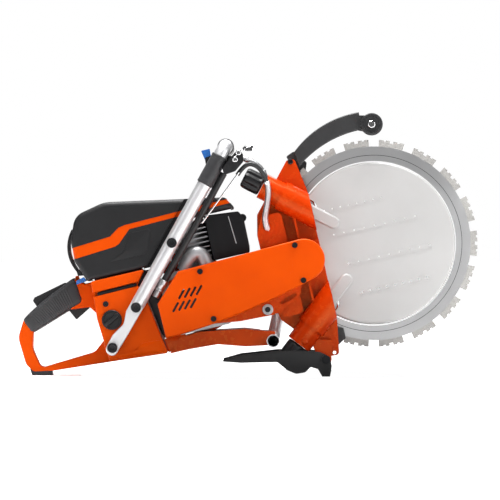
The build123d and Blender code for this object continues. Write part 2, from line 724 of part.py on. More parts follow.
def make_rear_grip():
    """Rubber sleeve moulded round the upper bar of the rear handle."""
    outer = slab(grip_outline(GRIP_T), GRIP_Y - LOOP_HALF - GRIP_T, GRIP_Y + LOOP_HALF + GRIP_T)
    long_edges = [e for f in both_faces(outer) for e in f.edges() if e.length > 25]
    outer = fillet(ShapeList(long_edges), 3.5)
    kept = outline((-323, 31), (-211, 90), (-205.5, 20), (-240, 10), (-300, -2))
    outer &= slab(kept, -40, 70)
    core = slab(handle_loop(), GRIP_Y - LOOP_HALF, GRIP_Y + LOOP_HALF)
    outer -= soften(core, both_faces(core), 2.8)
    low, high = GRIP_Y - 7, GRIP_Y + 7
    outer -= slab(outline((-250, 60), (-240, 88), (-190, 88), (-190, 10), (-242, 10)), low, high)
    outer -= slab(outline((-304, 70), (-214, 100), (-218, 50), (-296, 20)), low, high)
    return outer


def make_trigger():
    x, z = TRIGGER_PIVOT
    shape = outline((-236, 29), (-225.5, 7.5), (-197, 23), (-204, 38), (-220, 40), r=[2, 2, 2, 5, 5])
    body = slab(shape, GRIP_Y - 6, GRIP_Y + 6)
    return body - disc(x, z, CONTROL_PIN_R + FIT_GAP, GRIP_Y - 20, GRIP_Y + 20)


def make_lockout():
    x, z = LOCKOUT_PIVOT
    shape = [(-294, 58), (-290, 63), (-230, 77), (-219, 64), (-228, 57), (-288, 43)]
    body = slab(outline(*shape, r=[2, 2, 4, 4, 3, 2]), GRIP_Y - 6, GRIP_Y + 6)
    return body - disc(x, z, CONTROL_PIN_R + FIT_GAP, GRIP_Y - 20, GRIP_Y + 20)


CHOKE_STEM = (-192.0, -168.0, -9.5, 74.0)  # x from and to, y, z
CHOKE_STEM_R = 3.0
STOP_PIVOT = (-206.5, 70.0)


def make_choke():
    """Blue pull knob beside the handle, on a thin stem that runs forward into the filter base."""
    cap = outline((-211, 68.5), (-209, 75), (-194.5, 79), (-191, 70.5), r=1.5)
    x_from, x_to, y, z = CHOKE_STEM
    body = slab(cap, y - 5, y + 5)
    return body + rod((x_from, y, z), (x_to, y, z), CHOKE_STEM_R)


def make_stop_switch():
    x, z = STOP_PIVOT
    shape = outline((-209.5, 67), (-211, 82), (-208.5, 84), (-204, 83), (-203.5, 67), r=1.5)
    body = slab(shape, GRIP_Y - 4, GRIP_Y + 4)
    return body + disc(x, z, 3.0, GRIP_Y - 12, GRIP_Y + 12)


def make_fuel_cap():
    x, z = FUEL_CAP
    low = TANK_Y[0]
    cap = disc(x, z, FUEL_CAP_R, low - 5, low - 0.3)
    cap = chamfer(both_faces(cap)[0].edges(), 1.2)
    cap += disc(x, z, FUEL_CAP_R - 6, low - 1, low + 12)
    bar = Pos(x, z) * Rot(0, 0, 15) * SlotOverall(2 * FUEL_CAP_R - 3, 9)
    return cap + slab(bar, low - 12, low - 4)


def make_handle_foot():
    """Rubber pad under the heel of the rear handle, trimmed flat where it stands."""
    shape = outline((-326, -58), (-321, -98), (-291, -98), (-287, -66), r=2.0)
    pad = slab(shape, GRIP_Y - 14, GRIP_Y + 14)
    loop = slab(handle_loop(), GRIP_Y - LOOP_HALF, GRIP_Y + LOOP_HALF)
    return pad - soften(loop, both_faces(loop), 2.8)


# ---------------------------------------------------------------- engine
def make_crankcase():
    shape = outline((-70, -40), (-62, 34), (-34, 52), (54, 52), (70, 20), (70, -46), (40, -60), (-50, -60), r=10.0)
    body = slab(shape, *CASE_Y)
    body -= disc(0, 0, WEB_R + 4, CYLINDER_Y - 26, CYLINDER_Y + 26)
    body -= disc(0, 0, CRANK_R + 1, CASE_Y[0] - 1, CASE_Y[1] + 1)
    body -= disc(0, 0, BEARING_R, CASE_Y[0] + 4, CASE_Y[0] + 4 + BEARING_W)
    body -= disc(0, 0, BEARING_R, CASE_Y[1] - 4 - BEARING_W, CASE_Y[1] - 4)
    body -= Pos(CYLINDER_X, CYLINDER_Y, 30) * Cylinder(28, 60)
    return body


def make_cylinder():
    """Finned cylinder barrel standing on the crankcase."""
    barrel = Pos(CYLINDER_X, CYLINDER_Y, 52 + 40) * Cylinder(32, 80)
    for i in range(8):
        barrel += Pos(CYLINDER_X, CYLINDER_Y, 66 + 8.5 * i) * Box(62, 84, 2.2)
    barrel -= Pos(CYLINDER_X, CYLINDER_Y, 52 + 34) * Cylinder(28, 69)
    return barrel


MUFFLER_BUFFER = (104.9, 117.9)


def make_muffler():
    shape = outline((38.3, 55), (38.3, 137), (100, 131), (107, 119), (106, 66), (104, 55), r=[3, 3, 5, 5, 4, 4])
    body = slab(shape, -46, 72)
    body = soften(body, both_faces(body), 2.5)
    seam = slab(outline((75, 50), (78, 50), (68, 133), (65, 133.5)), -46.9, 73)
    ring = body & seam
    buffer = disc(*MUFFLER_BUFFER, 7.0, -42, -26)
    buffer += slab(outline((88, 112), (88, 122), (104, 122), (104, 112)), -38, -30)
    return body + ring + buffer


def make_exhaust_elbow():
    """Cast intake elbow that bulges out beside the cylinder."""
    return tube_along([(-10, -46, 62), (10, -46, 92), (25, -46, 62)], [14], 11, 8)


def make_filter_element():
    body = Pos(-140, CYLINDER_Y, 120) * Box(84, 96, 44)
    return fillet(body.edges().filter_by(Axis.Z), 12.0)


# ---------------------------------------------------------------- covers
COVER_Y = (-58.0, 88.0)
COVER_WALL = 3.0
CHANNEL_BACK_Y = -44.0


def cover_profile(inset=0.0):
    """Side outline of the whole top cover, lid and base together."""
    i = inset
    return outline(
        (-188 + i, 69),
        (-203 + i, 110),
        (-201 + i, 146),
        (-184 + i, 188 - i),
        (-128, 200 - i),
        (84 - i, 160 - i),
        (96 - i, 137),
        (8, 137),
        (-40, 69),
        r=[6, 12, 25, 30, 60, 12, 3, 1, 1],
    )


def stripe_band(top, low):
    """Band with a step: deep at the back, narrow along the front."""
    return [(-215, 112 + low), (-126, 118.5 + low), (-118, 122 + low), (-95, 143 + low), (110, 149 + low)], [
        (110, 157 + top),
        (-101, 152 + top),
        (-113, 150 + top),
        (-131, 138 + top),
        (-215, 132 + top),
    ]


def stripe_outline():
    low, top = stripe_band(0, 0)
    return make_face(Polyline(*low, *top, close=True))


def below_stripe():
    low, _ = stripe_band(0, 0)
    return make_face(Polyline((-215, 20), *low, (110, 20), close=True))


def above_stripe():
    _, top = stripe_band(0, 0)
    return make_face(Polyline((110, 230), *top, (-215, 230), close=True))


def strut_channel():
    """Clearance channel in the right side of the covers for the handle strut and its hose."""
    a, b = strut_point(0, -19.5), strut_point(300, -19.5)
    c, d = strut_point(300, 28), strut_point(0, 28)
    return slab(make_face(Polyline(a, b, c, d, close=True)), TANK_Y[0] - 20, CHANNEL_BACK_Y)


def cover_shell(part_outline, skin=0.0):
    full = slab(cover_profile(skin), COVER_Y[0] + skin, COVER_Y[1] - skin)
    full = soften(full, both_faces(full), 9.0)
    wall = COVER_WALL + skin
    inside = slab(cover_profile(wall), COVER_Y[0] + wall, COVER_Y[1] - wall)
    channel = strut_channel()
    lining = slab(cover_profile(COVER_WALL + skin), COVER_Y[0], CHANNEL_BACK_Y + COVER_WALL)
    hollow = inside - (lining & grown_channel())
    return ((full - hollow) - channel) & slab(part_outline, -100, 200)


def grown_channel():
    a, b = strut_point(0, -19.5 - COVER_WALL), strut_point(300, -19.5 - COVER_WALL)
    c, d = strut_point(300, 28 + COVER_WALL), strut_point(0, 28 + COVER_WALL)
    return slab(make_face(Polyline(a, b, c, d, close=True)), -200, 200)


LATCH_PIVOT = (-201.0, 88.0)
LATCH_PIN_R = 2.5
LATCH_HALF = 26.0


def make_filter_base():
    base = cover_shell(below_stripe())
    lug = outline((-192, 81), (-204, 83), (-205, 92), (-196, 95))
    for low in (GRIP_Y - LATCH_HALF - 5, GRIP_Y + LATCH_HALF + 0.5):
        base += slab(lug, low, low + 4.5)
    base -= disc(*LATCH_PIVOT, LATCH_PIN_R + FIT_GAP, GRIP_Y - 40, GRIP_Y + 40)
    x_from, x_to, y, z = CHOKE_STEM
    return base - rod((x_from - 10, y, z), (x_to, y, z), CHOKE_STEM_R + FIT_GAP)


def make_cover_stripe():
    return cover_shell(stripe_outline(), 0.6)


def make_filter_cover():
    return cover_shell(above_stripe())


def make_cover_latch():
    """Bowed spring latch that holds the lid at the back, on a pin between the base's two lugs."""
    outer = ThreePointArc((-202, 86), (-213, 122), (-197, 166))
    inner = ThreePointArc((-194.6, 166), (-208.5, 122), (-199, 88))
    shape = make_face([outer, Line((-197, 166), (-194.6, 166)), inner, Line((-199, 88), (-202, 86))])
    blade = slab(shape, GRIP_Y - LATCH_HALF, GRIP_Y + LATCH_HALF)
    x, z = LATCH_PIVOT
    pin_half = LATCH_HALF + 5
    return blade + disc(x, z, LATCH_PIN_R, GRIP_Y - pin_half, GRIP_Y + pin_half)


# ---------------------------------------------------------------- lower frame, starter, tubes
def make_lower_frame():
    """Cast skid under the engine that joins the tank to the front support tube."""
    shape = outline(
        (-75, -88), (-50, -64), (-14, -62), (64, -75), (96, -86), (118, -92), (100, -113), (60, -106),
        (12, -91), (-40, -88),
        r=[1, 2, 4, 8, 4, 3, 3, 20, 20, 3],
    )
    body = slab(shape, -45, 68)
    body -= slab(outline((-40, -80), (-30, -66), (0, -66), (60, -79), (84, -88), (60, -98), (12, -84)), -41, 64)
    body -= Pos(140, 80, -100) * Box(100, 90, 100)
    return body - disc(*SUPPORT_FOOT, SUPPORT_R + FIT_GAP, -100, 100)


SUPPORT_FOOT = (109.0, -107.0)


def make_support_tube():
    x, z = SUPPORT_FOOT
    path = [(x, -60, z), (x, 58, z), (x + 34, 58, -38), (70.2, 58, -38)]
    return tube_along(path, [20, 24], SUPPORT_R, SUPPORT_R - 1.5)


STARTER_R = 68.0


def make_starter_housing():
    low, high = CASE_Y[1] + 0.5, CASE_Y[1] + 46
    body = disc(0, 0, STARTER_R, low, high)
    body = fillet(both_faces(body)[1].edges(), 10.0)
    body -= disc(0, 0, STARTER_R - 4, low - 1, high - 5)
    for i in range(20):
        slot = Rot(0, 0, i * 18) * Pos(47, 0) * SlotOverall(28, 4)
        body -= slab(slot, high - 8, high + 2)
    body += disc(0, 0, 26, high - 2, high + 4)
    hook = outline((-46, 50), (-34, 84), (-8, 84), (0, 60), r=3.0)
    body += slab(hook, low + 15, high - 8)
    lug = outline((-66, 74), (-46, 84), (-34, 60), (-50, 40), r=3.0)
    body += slab(lug, low + 15, STARTER_LUG_Y)
    body -= disc(0, 0, STARTER_R - 4, low - 1, high - 5)
    x, z = STARTER_PULL
    return body - rod((x, STARTER_ROPE_Y, z - 30), (x, STARTER_ROPE_Y, z + 40), 2.4)


STARTER_PULL = (-24.0, 84.5)
STARTER_LUG_Y = 112.0
REEL_R = 30.0
STARTER_ROPE_Y = CASE_Y[1] + 23.0
PULL_TRAVEL = 24.0


def make_starter_handle():
    x, z = STARTER_PULL
    y = STARTER_ROPE_Y
    bar = Pos(x, y, z + 10) * Box(44, 16, 14)
    bar = fillet(bar.edges(), 5.0)
    bar += rod((x, y, z + 0.3), (x, y, z + 6), 7.0)
    return bar + rod((x, y, z - 26), (x, y, z + 4), 2.0)


def make_starter_reel():
    """Rope reel on its stud inside the starter housing; the rope leaves it at its rear edge."""
    y = STARTER_ROPE_Y
    body = ring_of(0, 0, REEL_R, 6, y - 5, y + 5)
    groove = ring_of(0, 0, REEL_R + 1, REEL_R - 7, y - 2.5, y + 2.5)
    return body - groove


BEND_R = 18.0
SEAT = 11.0  # flats for the bolt heads, from the tube's axis
HANDLE_BOLTS = (strut_point(129), STRUT_FOOT, STRUT_HEEL)
FAR_BOLT = strut_point(86)


def make_front_handle():
    """One bent tube: right strut with its flattened heel, top bar and left strut."""
    top = STRUT_TOP
    near_low = strut_point(6)
    far_low = strut_point(72)
    points = [
        (near_low[0], HANDLE_NEAR_Y, near_low[1]),
        (top[0], HANDLE_NEAR_Y, top[1]),
        (top[0], HANDLE_FAR_Y, top[1]),
        (far_low[0], HANDLE_FAR_Y, far_low[1]),
    ]
    tube = tube_along(points, [BEND_R, BEND_R], HANDLE_R, HANDLE_R - HANDLE_WALL)
    a = strut_point(26, 12.3)
    heel = outline(
        strut_point(24, -12.3),
        strut_point(-14, -12.3),
        strut_point(-36, -5.0),
        strut_point(-62, -12.5),
        strut_point(-96, -12.0),
        strut_point(-96, 9.0),
        strut_point(-62, 10.5),
        a,
        r=[1, 14, 16, 14, 11.0, 9, 10, 1],
    )
    blade = slab(heel, HANDLE_NEAR_Y - 5, HANDLE_NEAR_Y + 5)
    blade = soften(blade, both_faces(blade), 1.5)
    body = tube + blade
    for x, z in HANDLE_BOLTS:
        body -= disc(x, z, 4.2, HANDLE_NEAR_Y - 20, HANDLE_NEAR_Y + 20)
    for x, z in HANDLE_BOLTS[:2]:
        body -= disc(x, z, 7.2, HANDLE_NEAR_Y - 20, HANDLE_NEAR_Y - SEAT)
    x, z = FAR_BOLT
    body -= disc(x, z, 4.2, HANDLE_FAR_Y - 20, HANDLE_FAR_Y + 20)
    return body - disc(x, z, 7.2, HANDLE_FAR_Y + SEAT, HANDLE_FAR_Y + 20)


def make_handle_sleeve():
    """Rubber on the right strut below the bend, and the main grip on the top bar."""
    outer, inner = HANDLE_R + SLEEVE_T, HANDLE_R + 0.02
    parts = []
    a, b = strut_point(248), strut_point(306)
    start, end = (a[0], HANDLE_NEAR_Y, a[1]), (b[0], HANDLE_NEAR_Y, b[1])
    parts.append(rod(start, end, outer) - rod(start, end, inner))
    x, z = STRUT_TOP
    start, end = (x, HANDLE_NEAR_Y + 32, z), (x, HANDLE_FAR_Y - 32, z)
    parts.append(rod(start, end, outer) - rod(start, end, inner))
    return Compound(children=parts)


def make_handle_bolts():
    bolts = []
    for i, (x, z) in enumerate(HANDLE_BOLTS):
        half = 5.0 if i == 2 else SEAT
        near = HANDLE_NEAR_Y - half
        inward = COVER_BACK[i]
        bolt = screw_head(x, z, near, 7.0, 4.0)
        bolt += disc(x, z, 4.0, near - 1, inward)
        bolt += disc(x, z, 8.0, HANDLE_NEAR_Y + half + 1.5, inward)
        bolts.append(bolt)
    x, z = FAR_BOLT
    bolt = disc(x, z, 7.0, HANDLE_FAR_Y + SEAT, HANDLE_FAR_Y + SEAT + 4)
    bolt += disc(x, z, 4.0, STARTER_LUG_Y, HANDLE_FAR_Y + SEAT + 1)
    bolt += disc(x, z, 8.0, STARTER_LUG_Y, HANDLE_FAR_Y - HANDLE_R)
    bolts.append(bolt)
    return Compound(children=bolts)


COVER_BACK = (CHANNEL_BACK_Y, TANK_Y[0], TANK_Y[0])


# ---------------------------------------------------------------- water supply
INLET_OFF = HANDLE_R + 8.0
INLET_Y = HANDLE_NEAR_Y + 7.0


def inlet_point(along, y=INLET_Y):
    x, z = strut_point(along, INLET_OFF)
    return (x, y, z)


def make_inlet_hose():
    return rod(inlet_point(66), inlet_point(282), INLET_R) - rod(inlet_point(60), inlet_point(290), INLET_R - 2)


def make_inlet_connector():
    body = rod(inlet_point(58), inlet_point(66), 8.9)
    body += rod(inlet_point(48), inlet_point(58), 7.8)
    body += rod(inlet_point(44), inlet_point(48), 8.6)
    body += rod(inlet_point(32), inlet_point(44), 7.4)
    return body - rod(inlet_point(28), inlet_point(62), 4.0)


TAP_NUT = (142.5, 230.0)
TAP_Y = (-92.0, -68.0)
VALVE_Y = (-62.8, -52.0)
TAP_LEVER = (69.0, 226.0)


def make_tap_body():
    """Clamp block on the handle tube with the valve bore beside it."""
    shape = outline((90, 198), (111, 200.5), (129, 214), (131, 226), (127, 237), (117, 232), (104, 222), (90, 210), r=3.0)
    body = slab(shape, *TAP_Y)
    low, top = strut_point(230), strut_point(350)
    clamp_r = HANDLE_R + SLEEVE_T + 0.2
    body -= rod((low[0], HANDLE_NEAR_Y, low[1]), (top[0], HANDLE_NEAR_Y, top[1]), clamp_r)
    for x, z in TAP_SCREWS:
        body += screw_head(x, z, TAP_Y[0], 4.6, 3.0, 0.6)
    body -= rod(inlet_point(274), inlet_point(292), INLET_R + 0.1)
    body -= disc(*TAP_NUT, 6.0, -120, 0)
    # valve behind the strut, carried by a bridge beside it
    body += slab(outline((100, 206), (118, 212), (128, 222), (112, 228)), TAP_Y[1] - 2, VALVE_Y[1])
    body += slab(outline((62, 216), (64, 236), (82, 238), (112, 228), (112, 210), r=3.0), *VALVE_Y)
    return body - disc(*TAP_LEVER, 3.0 + FIT_GAP, VALVE_Y[0] - 1, VALVE_Y[1] + 1)


TAP_SCREWS = [(124.0, 231.0), (115.5, 220.5)]


def make_tap_nut():
    x, z = TAP_NUT
    low, high = TAP_Y
    nut = slab(Pos(x, z) * Rot(0, 0, 10) * RegularPolygon(12.6, 6), low - 3, low - 0.2)
    nut += disc(x, z, 8.5, low - 7, low - 3)
    nut += disc(x, z, 5.9, low - 1, high)
    return nut




def make_tap_lever():
    """Blue quarter-turn lever on its spindle behind the top bend."""
    low = VALVE_Y[1] + 0.3
    shape = outline((64, 228), (60, 250), (76, 250), (74, 226), (69, 219), r=[2, 1.5, 1.5, 2, 2])
    return slab(shape, low, low + 6) + disc(*TAP_LEVER, 3.0, VALVE_Y[0] + 1, low + 1)


def make_outlet_hose():
    return tube_along(HOSE_RUN, HOSE_RADII, OUTLET_R, OUTLET_R - 1.6)


def make_hose_sleeve():
    path = FilletPolyline(*HOSE_RUN, radius=HOSE_RADII)
    start = 0.52
    edges = path.trim(start, 0.97)
    plane = Plane(origin=edges @ 0, z_dir=edges % 0)
    ring = Circle(OUTLET_R + SLEEVE_WIRE_T) - Circle(OUTLET_R + 0.02)
    return sweep(plane * ring, path=edges)


# ---------------------------------------------------------------- guards round the ring
GUARD_ROLLER = (43.0, 207.5)  # from the ring centre
GUARD_ROLLER_R = 20.0
GUARD_ROLLER_HALF = 17.0
GUARD_HALF = 16.0
GUARD_SHEET = 3.0


def make_blade_guard():
    """Curved channel over the upper rear of the ring, with ears for the nose roller."""
    start_out, mid_out, end_out = (-103, 190), (-47, 223.5), (26, 234)
    start_in, mid_in, end_in = (-100, 163), (-52, 190), (24, 203)
    points = (start_out, mid_out, end_out, end_in, mid_in, start_in)
    so, mo, eo, ei, mi, si = [from_ring(*p) for p in points]
    shape = make_face(
        [
            ThreePointArc(so, mo, eo),
            Line(eo, ei),
            ThreePointArc(ei, mi, si),
            Line(si, so),
        ]
    )
    body = slab(shape, -GUARD_HALF, GUARD_HALF)
    body = soften(body, both_faces(body), 2.5)
    tail = [(-118, 186), (-103, 192), (-84, 168), (-92, 146), (-98, 146), (-110, 166)]
    tail_low = HOUSING_PLATE[1] + 0.3
    body += slab(outline(*[from_ring(*p) for p in tail], r=3.0), tail_low, GUARD_HALF)
    # the ring and its segments run inside
    body -= disc(RING_X, RING_Z, RING_R + 6, -GUARD_HALF + GUARD_SHEET, GUARD_HALF - GUARD_SHEET)
    inner = make_face(
        [
            ThreePointArc(from_ring(-92, 176), from_ring(-47, 219), from_ring(22, 230)),
            Line(from_ring(22, 230), from_ring(30, 150)),
            Line(from_ring(30, 150), from_ring(-92, 120)),
            Line(from_ring(-92, 120), from_ring(-92, 176)),
        ]
    )
    body -= slab(inner, -GUARD_HALF + GUARD_SHEET, GUARD_HALF - GUARD_SHEET)
    # ears for the roller
    ear = [(14, 231), (14, 205), (34, 196), (52, 200), (52, 214), (34, 226)]
    for low, high in ((-GUARD_HALF, -GUARD_HALF + GUARD_SHEET), (GUARD_HALF - GUARD_SHEET, GUARD_HALF)):
        body += slab(outline(*[from_ring(*p) for p in ear], r=4.0), low, high)
    bx, bz = from_ring(*BRACKET_BOLT)
    body -= disc(bx, bz, 3.1, -60, 60)
    body -= disc(*from_ring(*GUARD_ROLLER), 4.0 + FIT_GAP, -60, 60)
    return body


def make_guard_roller():
    """Two wide cheeks outside the guard's ears, joined by the hub between them."""
    x, z = from_ring(*GUARD_ROLLER)
    body = disc(x, z, GUARD_ROLLER_R, -GUARD_HALF - 9, -GUARD_HALF - 0.5)
    return fillet(both_faces(body)[0].edges(), 3.0) - disc(x, z, 4.0 + FIT_GAP, -60, 60)


def make_roller_screw():
    x, z = from_ring(*GUARD_ROLLER)
    near = -GUARD_HALF - 9
    shank = disc(x, z, 4.0, near - 0.5, GUARD_HALF + 4)
    shank += screw_head(x, z, near - 0.3, 5.2, 2.6)
    return shank


SCOOP_Y = (-59.5, 56.0)
SCOOP_WALL = 3.0


def scoop_outline():
    """Side outline of the spray guard: thin tip, long blade, round bowl and the ears at its pin."""
    px, pz = SCOOP_PIVOT
    blade_top = [(-309, -141), (-276, -139.5), (-211, -147), (-169, -156)]
    ears = [(px - 6, pz + 15), (px + 8, pz + 3), (px + 8, pz - 14), (px, pz - 32), (px - 12, pz - 32), (px - 17, pz - 14)]
    bowl = [(-160, -188), (-172, -195), (-188, -194), (-202, -184), (-216, -166)]
    blade_under = [(-279, -153), (-309, -144)]
    points = [from_ring(*p) for p in blade_top + ears + bowl + blade_under]
    return outline(*points, r=[1, 20, 30, 20, 8, 5, 8, 5, 4, 5, 4, 8, 10, 10, 6, 20, 1])


def make_spray_guard():
    """Scoop that is closed below and at its sides and open along the top."""
    near, far = SCOOP_Y[0] + SCOOP_WALL, SCOOP_Y[1] - SCOOP_WALL
    body = slab(scoop_outline(), *SCOOP_Y)
    mouth = [
        (-330, -90), (-60, -90), (-60, -260), (-144, -260), (-144, -186), (-160, -185), (-174, -191.5),
        (-188, -190), (-200, -181), (-214, -163), (-276, -149), (-330, -142),
    ]
    body -= slab(outline(*[from_ring(*p) for p in mouth]), near, far)
    px, pz = from_ring(*SCOOP_PIVOT)
    return body - disc(px, pz, SCOOP_PIN_R + FIT_GAP, -100, 100)


def make_scoop_pin():
    px, pz = from_ring(*SCOOP_PIVOT)
    pin = disc(px, pz, SCOOP_PIN_R, SCOOP_Y[0] - 3, SCOOP_Y[1] + 3)
    pin += disc(px, pz, SCOOP_PIN_R + 2.5, SCOOP_Y[0] - 4, SCOOP_Y[0] - 0.2)
    return pin + disc(px, pz, SCOOP_PIN_R + 2.5, SCOOP_Y[1] + 0.2, SCOOP_Y[1] + 4)


# ---------------------------------------------------------------- assembly
MAKERS = {
    "ring_core": make_ring_core,
    "ring_segments": make_ring_segments,
    "water_disc": make_water_disc,
    "drive_wheel": make_drive_wheel,
    "drive_shaft": make_drive_shaft,
    "drive_pulley": make_drive_pulley,
    "drive_belt": make_drive_belt,
    "clutch_drum": make_clutch_drum,
    "crankshaft": make_crankshaft,
    "flywheel": make_flywheel,
    "ball_bearings": make_ball_bearings,
    "roller_housing": make_roller_housing,
    "roller_cover": make_roller_cover,
    "upper_roller_arm": lambda: make_roller_arm(1),
    "lower_roller_arm": lambda: make_roller_arm(-1),
    "upper_guide_roller": lambda: make_guide_roller(1),
    "lower_guide_roller": lambda: make_guide_roller(-1),
    "upper_adjuster_knob": lambda: make_adjuster_knob(1),
    "lower_adjuster_knob": lambda: make_adjuster_knob(-1),
    "belt_guard": make_belt_guard,
    "cover_screws": make_cover_screws,
    "drive_arm": make_drive_arm,
    "tension_bolts": make_tension_bolts,
    "tank_and_rear_handle": make_tank_and_rear_handle,
    "rear_grip": make_rear_grip,
    "throttle_trigger": make_trigger,
    "throttle_lockout": make_lockout,
    "choke_knob": make_choke,
    "stop_switch": make_stop_switch,
    "fuel_cap": make_fuel_cap,
    "handle_foot": make_handle_foot,
    "crankcase": make_crankcase,
    "cylinder": make_cylinder,
    "muffler": make_muffler,
    "exhaust_elbow": make_exhaust_elbow,
    "filter_element": make_filter_element,
    "filter_base": make_filter_base,
    "cover_stripe": make_cover_stripe,
    "filter_cover": make_filter_cover,
    "cover_latch": make_cover_latch,
    "lower_frame": make_lower_frame,
    "support_tube": make_support_tube,
    "starter_housing": make_starter_housing,
    "starter_handle": make_starter_handle,
    "starter_reel": make_starter_reel,
    "front_handle": make_front_handle,
    "handle_sleeve": make_handle_sleeve,
    "handle_bolts": make_handle_bolts,
    "inlet_hose": make_inlet_hose,
    "inlet_connector": make_inlet_connector,
    "tap_body": make_tap_body,
    "tap_nut": make_tap_nut,
    "tap_lever": make_tap_lever,
    "outlet_hose": make_outlet_hose,
    "hose_sleeve": make_hose_sleeve,
    "blade_guard": make_blade_guard,
    "guard_roller": make_guard_roller,
    "roller_screw": make_roller_screw,
    "spray_guard": make_spray_guard,
    "scoop_pin": make_scoop_pin,
}
STANDING = ("handle_foot", "spray_guard")  # trimmed flat on the floor


def tipped():
    """Turn from the machine frame to the standing saw, about the ring centre."""
    lift = Location((0, 0, RING_HEIGHT))
    lean = Location((0, 0, 0), (0, -TILT, 0))
    return lift * lean * Location((-RING_X, 0, -RING_Z))


def main():
    os.makedirs("parts", exist_ok=True)
    stand = tipped()
    solids = {}
    for name, make in MAKERS.items():
        solids[name] = stand * Compound(children=list(make().solids()))
    floor = Pos(0, 0, -100) * Box(2000, 600, 200)
    for name in STANDING:
        cut = [solid - floor for solid in solids[name].solids()]
        solids[name] = Compound(children=cut)
    boxes = [s.bounding_box() for s in solids.values()]
    mid_x = (min(b.min.X for b in boxes) + max(b.max.X for b in boxes)) / 2
    mid_y = (min(b.min.Y for b in boxes) + max(b.max.Y for b in boxes)) / 2
    for name, solid in solids.items():
        export_step(Pos(-mid_x, -mid_y, 0) * solid, f"parts/{name}.step")
    print("placed by", round(-mid_x, 3), round(-mid_y, 3))


if __name__ == "__main__":
    main()
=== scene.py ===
import json
import math

import bpy
import numpy as np
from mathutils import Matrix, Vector


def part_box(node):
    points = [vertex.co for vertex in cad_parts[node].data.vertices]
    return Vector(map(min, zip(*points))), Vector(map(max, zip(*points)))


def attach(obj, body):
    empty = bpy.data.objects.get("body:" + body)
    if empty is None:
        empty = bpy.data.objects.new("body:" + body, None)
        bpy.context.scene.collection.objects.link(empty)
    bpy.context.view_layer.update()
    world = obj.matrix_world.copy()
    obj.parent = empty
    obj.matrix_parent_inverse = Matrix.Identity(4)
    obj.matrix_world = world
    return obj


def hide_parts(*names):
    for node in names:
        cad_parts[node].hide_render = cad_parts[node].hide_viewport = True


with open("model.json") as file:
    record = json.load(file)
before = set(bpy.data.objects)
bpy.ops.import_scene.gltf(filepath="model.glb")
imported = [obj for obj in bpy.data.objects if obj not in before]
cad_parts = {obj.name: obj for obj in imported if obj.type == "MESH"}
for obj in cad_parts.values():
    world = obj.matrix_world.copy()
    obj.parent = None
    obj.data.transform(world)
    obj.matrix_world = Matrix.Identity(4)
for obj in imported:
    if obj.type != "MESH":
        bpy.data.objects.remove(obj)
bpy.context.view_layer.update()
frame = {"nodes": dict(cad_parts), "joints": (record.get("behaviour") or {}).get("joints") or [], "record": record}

# ---------------------------------------------------------------- the saw's own frame
# The saw stands nose-up. Millimetres measured along, across and up the saw from its crankshaft
# become metres in the shared frame.
NOSE_UP = math.radians(13.0)
ALONG = np.array([math.cos(NOSE_UP), 0.0, math.sin(NOSE_UP)])
ACROSS = np.array([0.0, 1.0, 0.0])
UPRIGHT = np.array([-math.sin(NOSE_UP), 0.0, math.cos(NOSE_UP)])


def middle(node):
    """Middle of a node's box."""
    low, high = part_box(node)
    return np.array((low + high) / 2)


ring_centre = middle("ring_core")
crank = middle("clutch_drum") * [1, 0, 1] + ring_centre * [0, 1, 0]


def on_saw(x, y, z):
    """Crank point plus x along, y across and z up the saw, all in millimetres."""
    x, y, z = np.broadcast_arrays(*(np.asarray(a, float)[..., None] for a in (x, y, z)))
    return crank + (x * ALONG + y * ACROSS + z * UPRIGHT) / 1000.0


def heading(x, y, z):
    """Unit vector of a direction given along, across and up the saw."""
    d = x * ALONG + y * ACROSS + z * UPRIGHT
    return d / np.linalg.norm(d)


# ---------------------------------------------------------------- surfaces from arrays
def skin(name, points, ends="closed", crease=35.0):
    """Grid of points (rows along the piece, columns round it) as a quad mesh. The last column joins
    the first. Ends are closed by fans to the mean of the end row, left open, or joined to each
    other, as on a turned ring."""
    rows, cols = points.shape[:2]
    verts = points.reshape(-1, 3)
    index = np.arange(rows * cols).reshape(rows, cols)
    if ends == "joined":
        index = np.vstack([index, index[:1]])
    right = np.roll(index, -1, axis=1)
    quads = np.stack([index[:-1], right[:-1], right[1:], index[1:]], axis=-1).reshape(-1, 4)
    faces = quads.tolist()
    if ends == "closed":
        first, last = len(verts), len(verts) + 1
        verts = np.vstack([verts, points[0].mean(0), points[-1].mean(0)])
        a, b = index[0], right[0]
        faces += np.stack([b, a, np.full(cols, first)], axis=-1).tolist()
        a, b = index[-1], right[-1]
        faces += np.stack([a, b, np.full(cols, last)], axis=-1).tolist()
    mesh = bpy.data.meshes.new(name)
    mesh.from_pydata(verts.tolist(), [], faces)
    mesh.polygons.foreach_set("use_smooth", np.ones(len(mesh.polygons), bool))
    mesh.set_sharp_from_angle(angle=math.radians(crease))
    piece = bpy.data.objects.new(name, mesh)
    bpy.context.scene.collection.objects.link(piece)
    return piece


def square_frame(axis):
    """Two unit vectors that make a right-handed set with the axis."""
    helper = ACROSS if abs(axis @ ACROSS) < 0.9 else UPRIGHT
    side = np.cross(helper, axis)
    side /= np.linalg.norm(side)
    return side, np.cross(axis, side)


def turned(name, start, axis, profile, steps=64, shape=None, ends="closed", crease=35.0):
    """Profile of (distance along the axis, radius) in millimetres, turned about the axis:
    start + axis x distance + radius x shape(angle, distance) x (side x cos + up x sin)."""
    side, up = square_frame(axis)
    distance, radius = np.array(profile, float).T
    angle = np.linspace(0, 2 * np.pi, steps, endpoint=False)
    wide = radius[:, None] * (1.0 if shape is None else shape(angle[None, :], distance[:, None]))
    wide = np.broadcast_to(wide, (len(distance), steps))[..., None] / 1000.0
    round_it = np.cos(angle)[:, None] * side + np.sin(angle)[:, None] * up
    along = distance[:, None, None] / 1000.0 * axis
    return skin(name, start + along + wide * round_it[None], ends, crease)


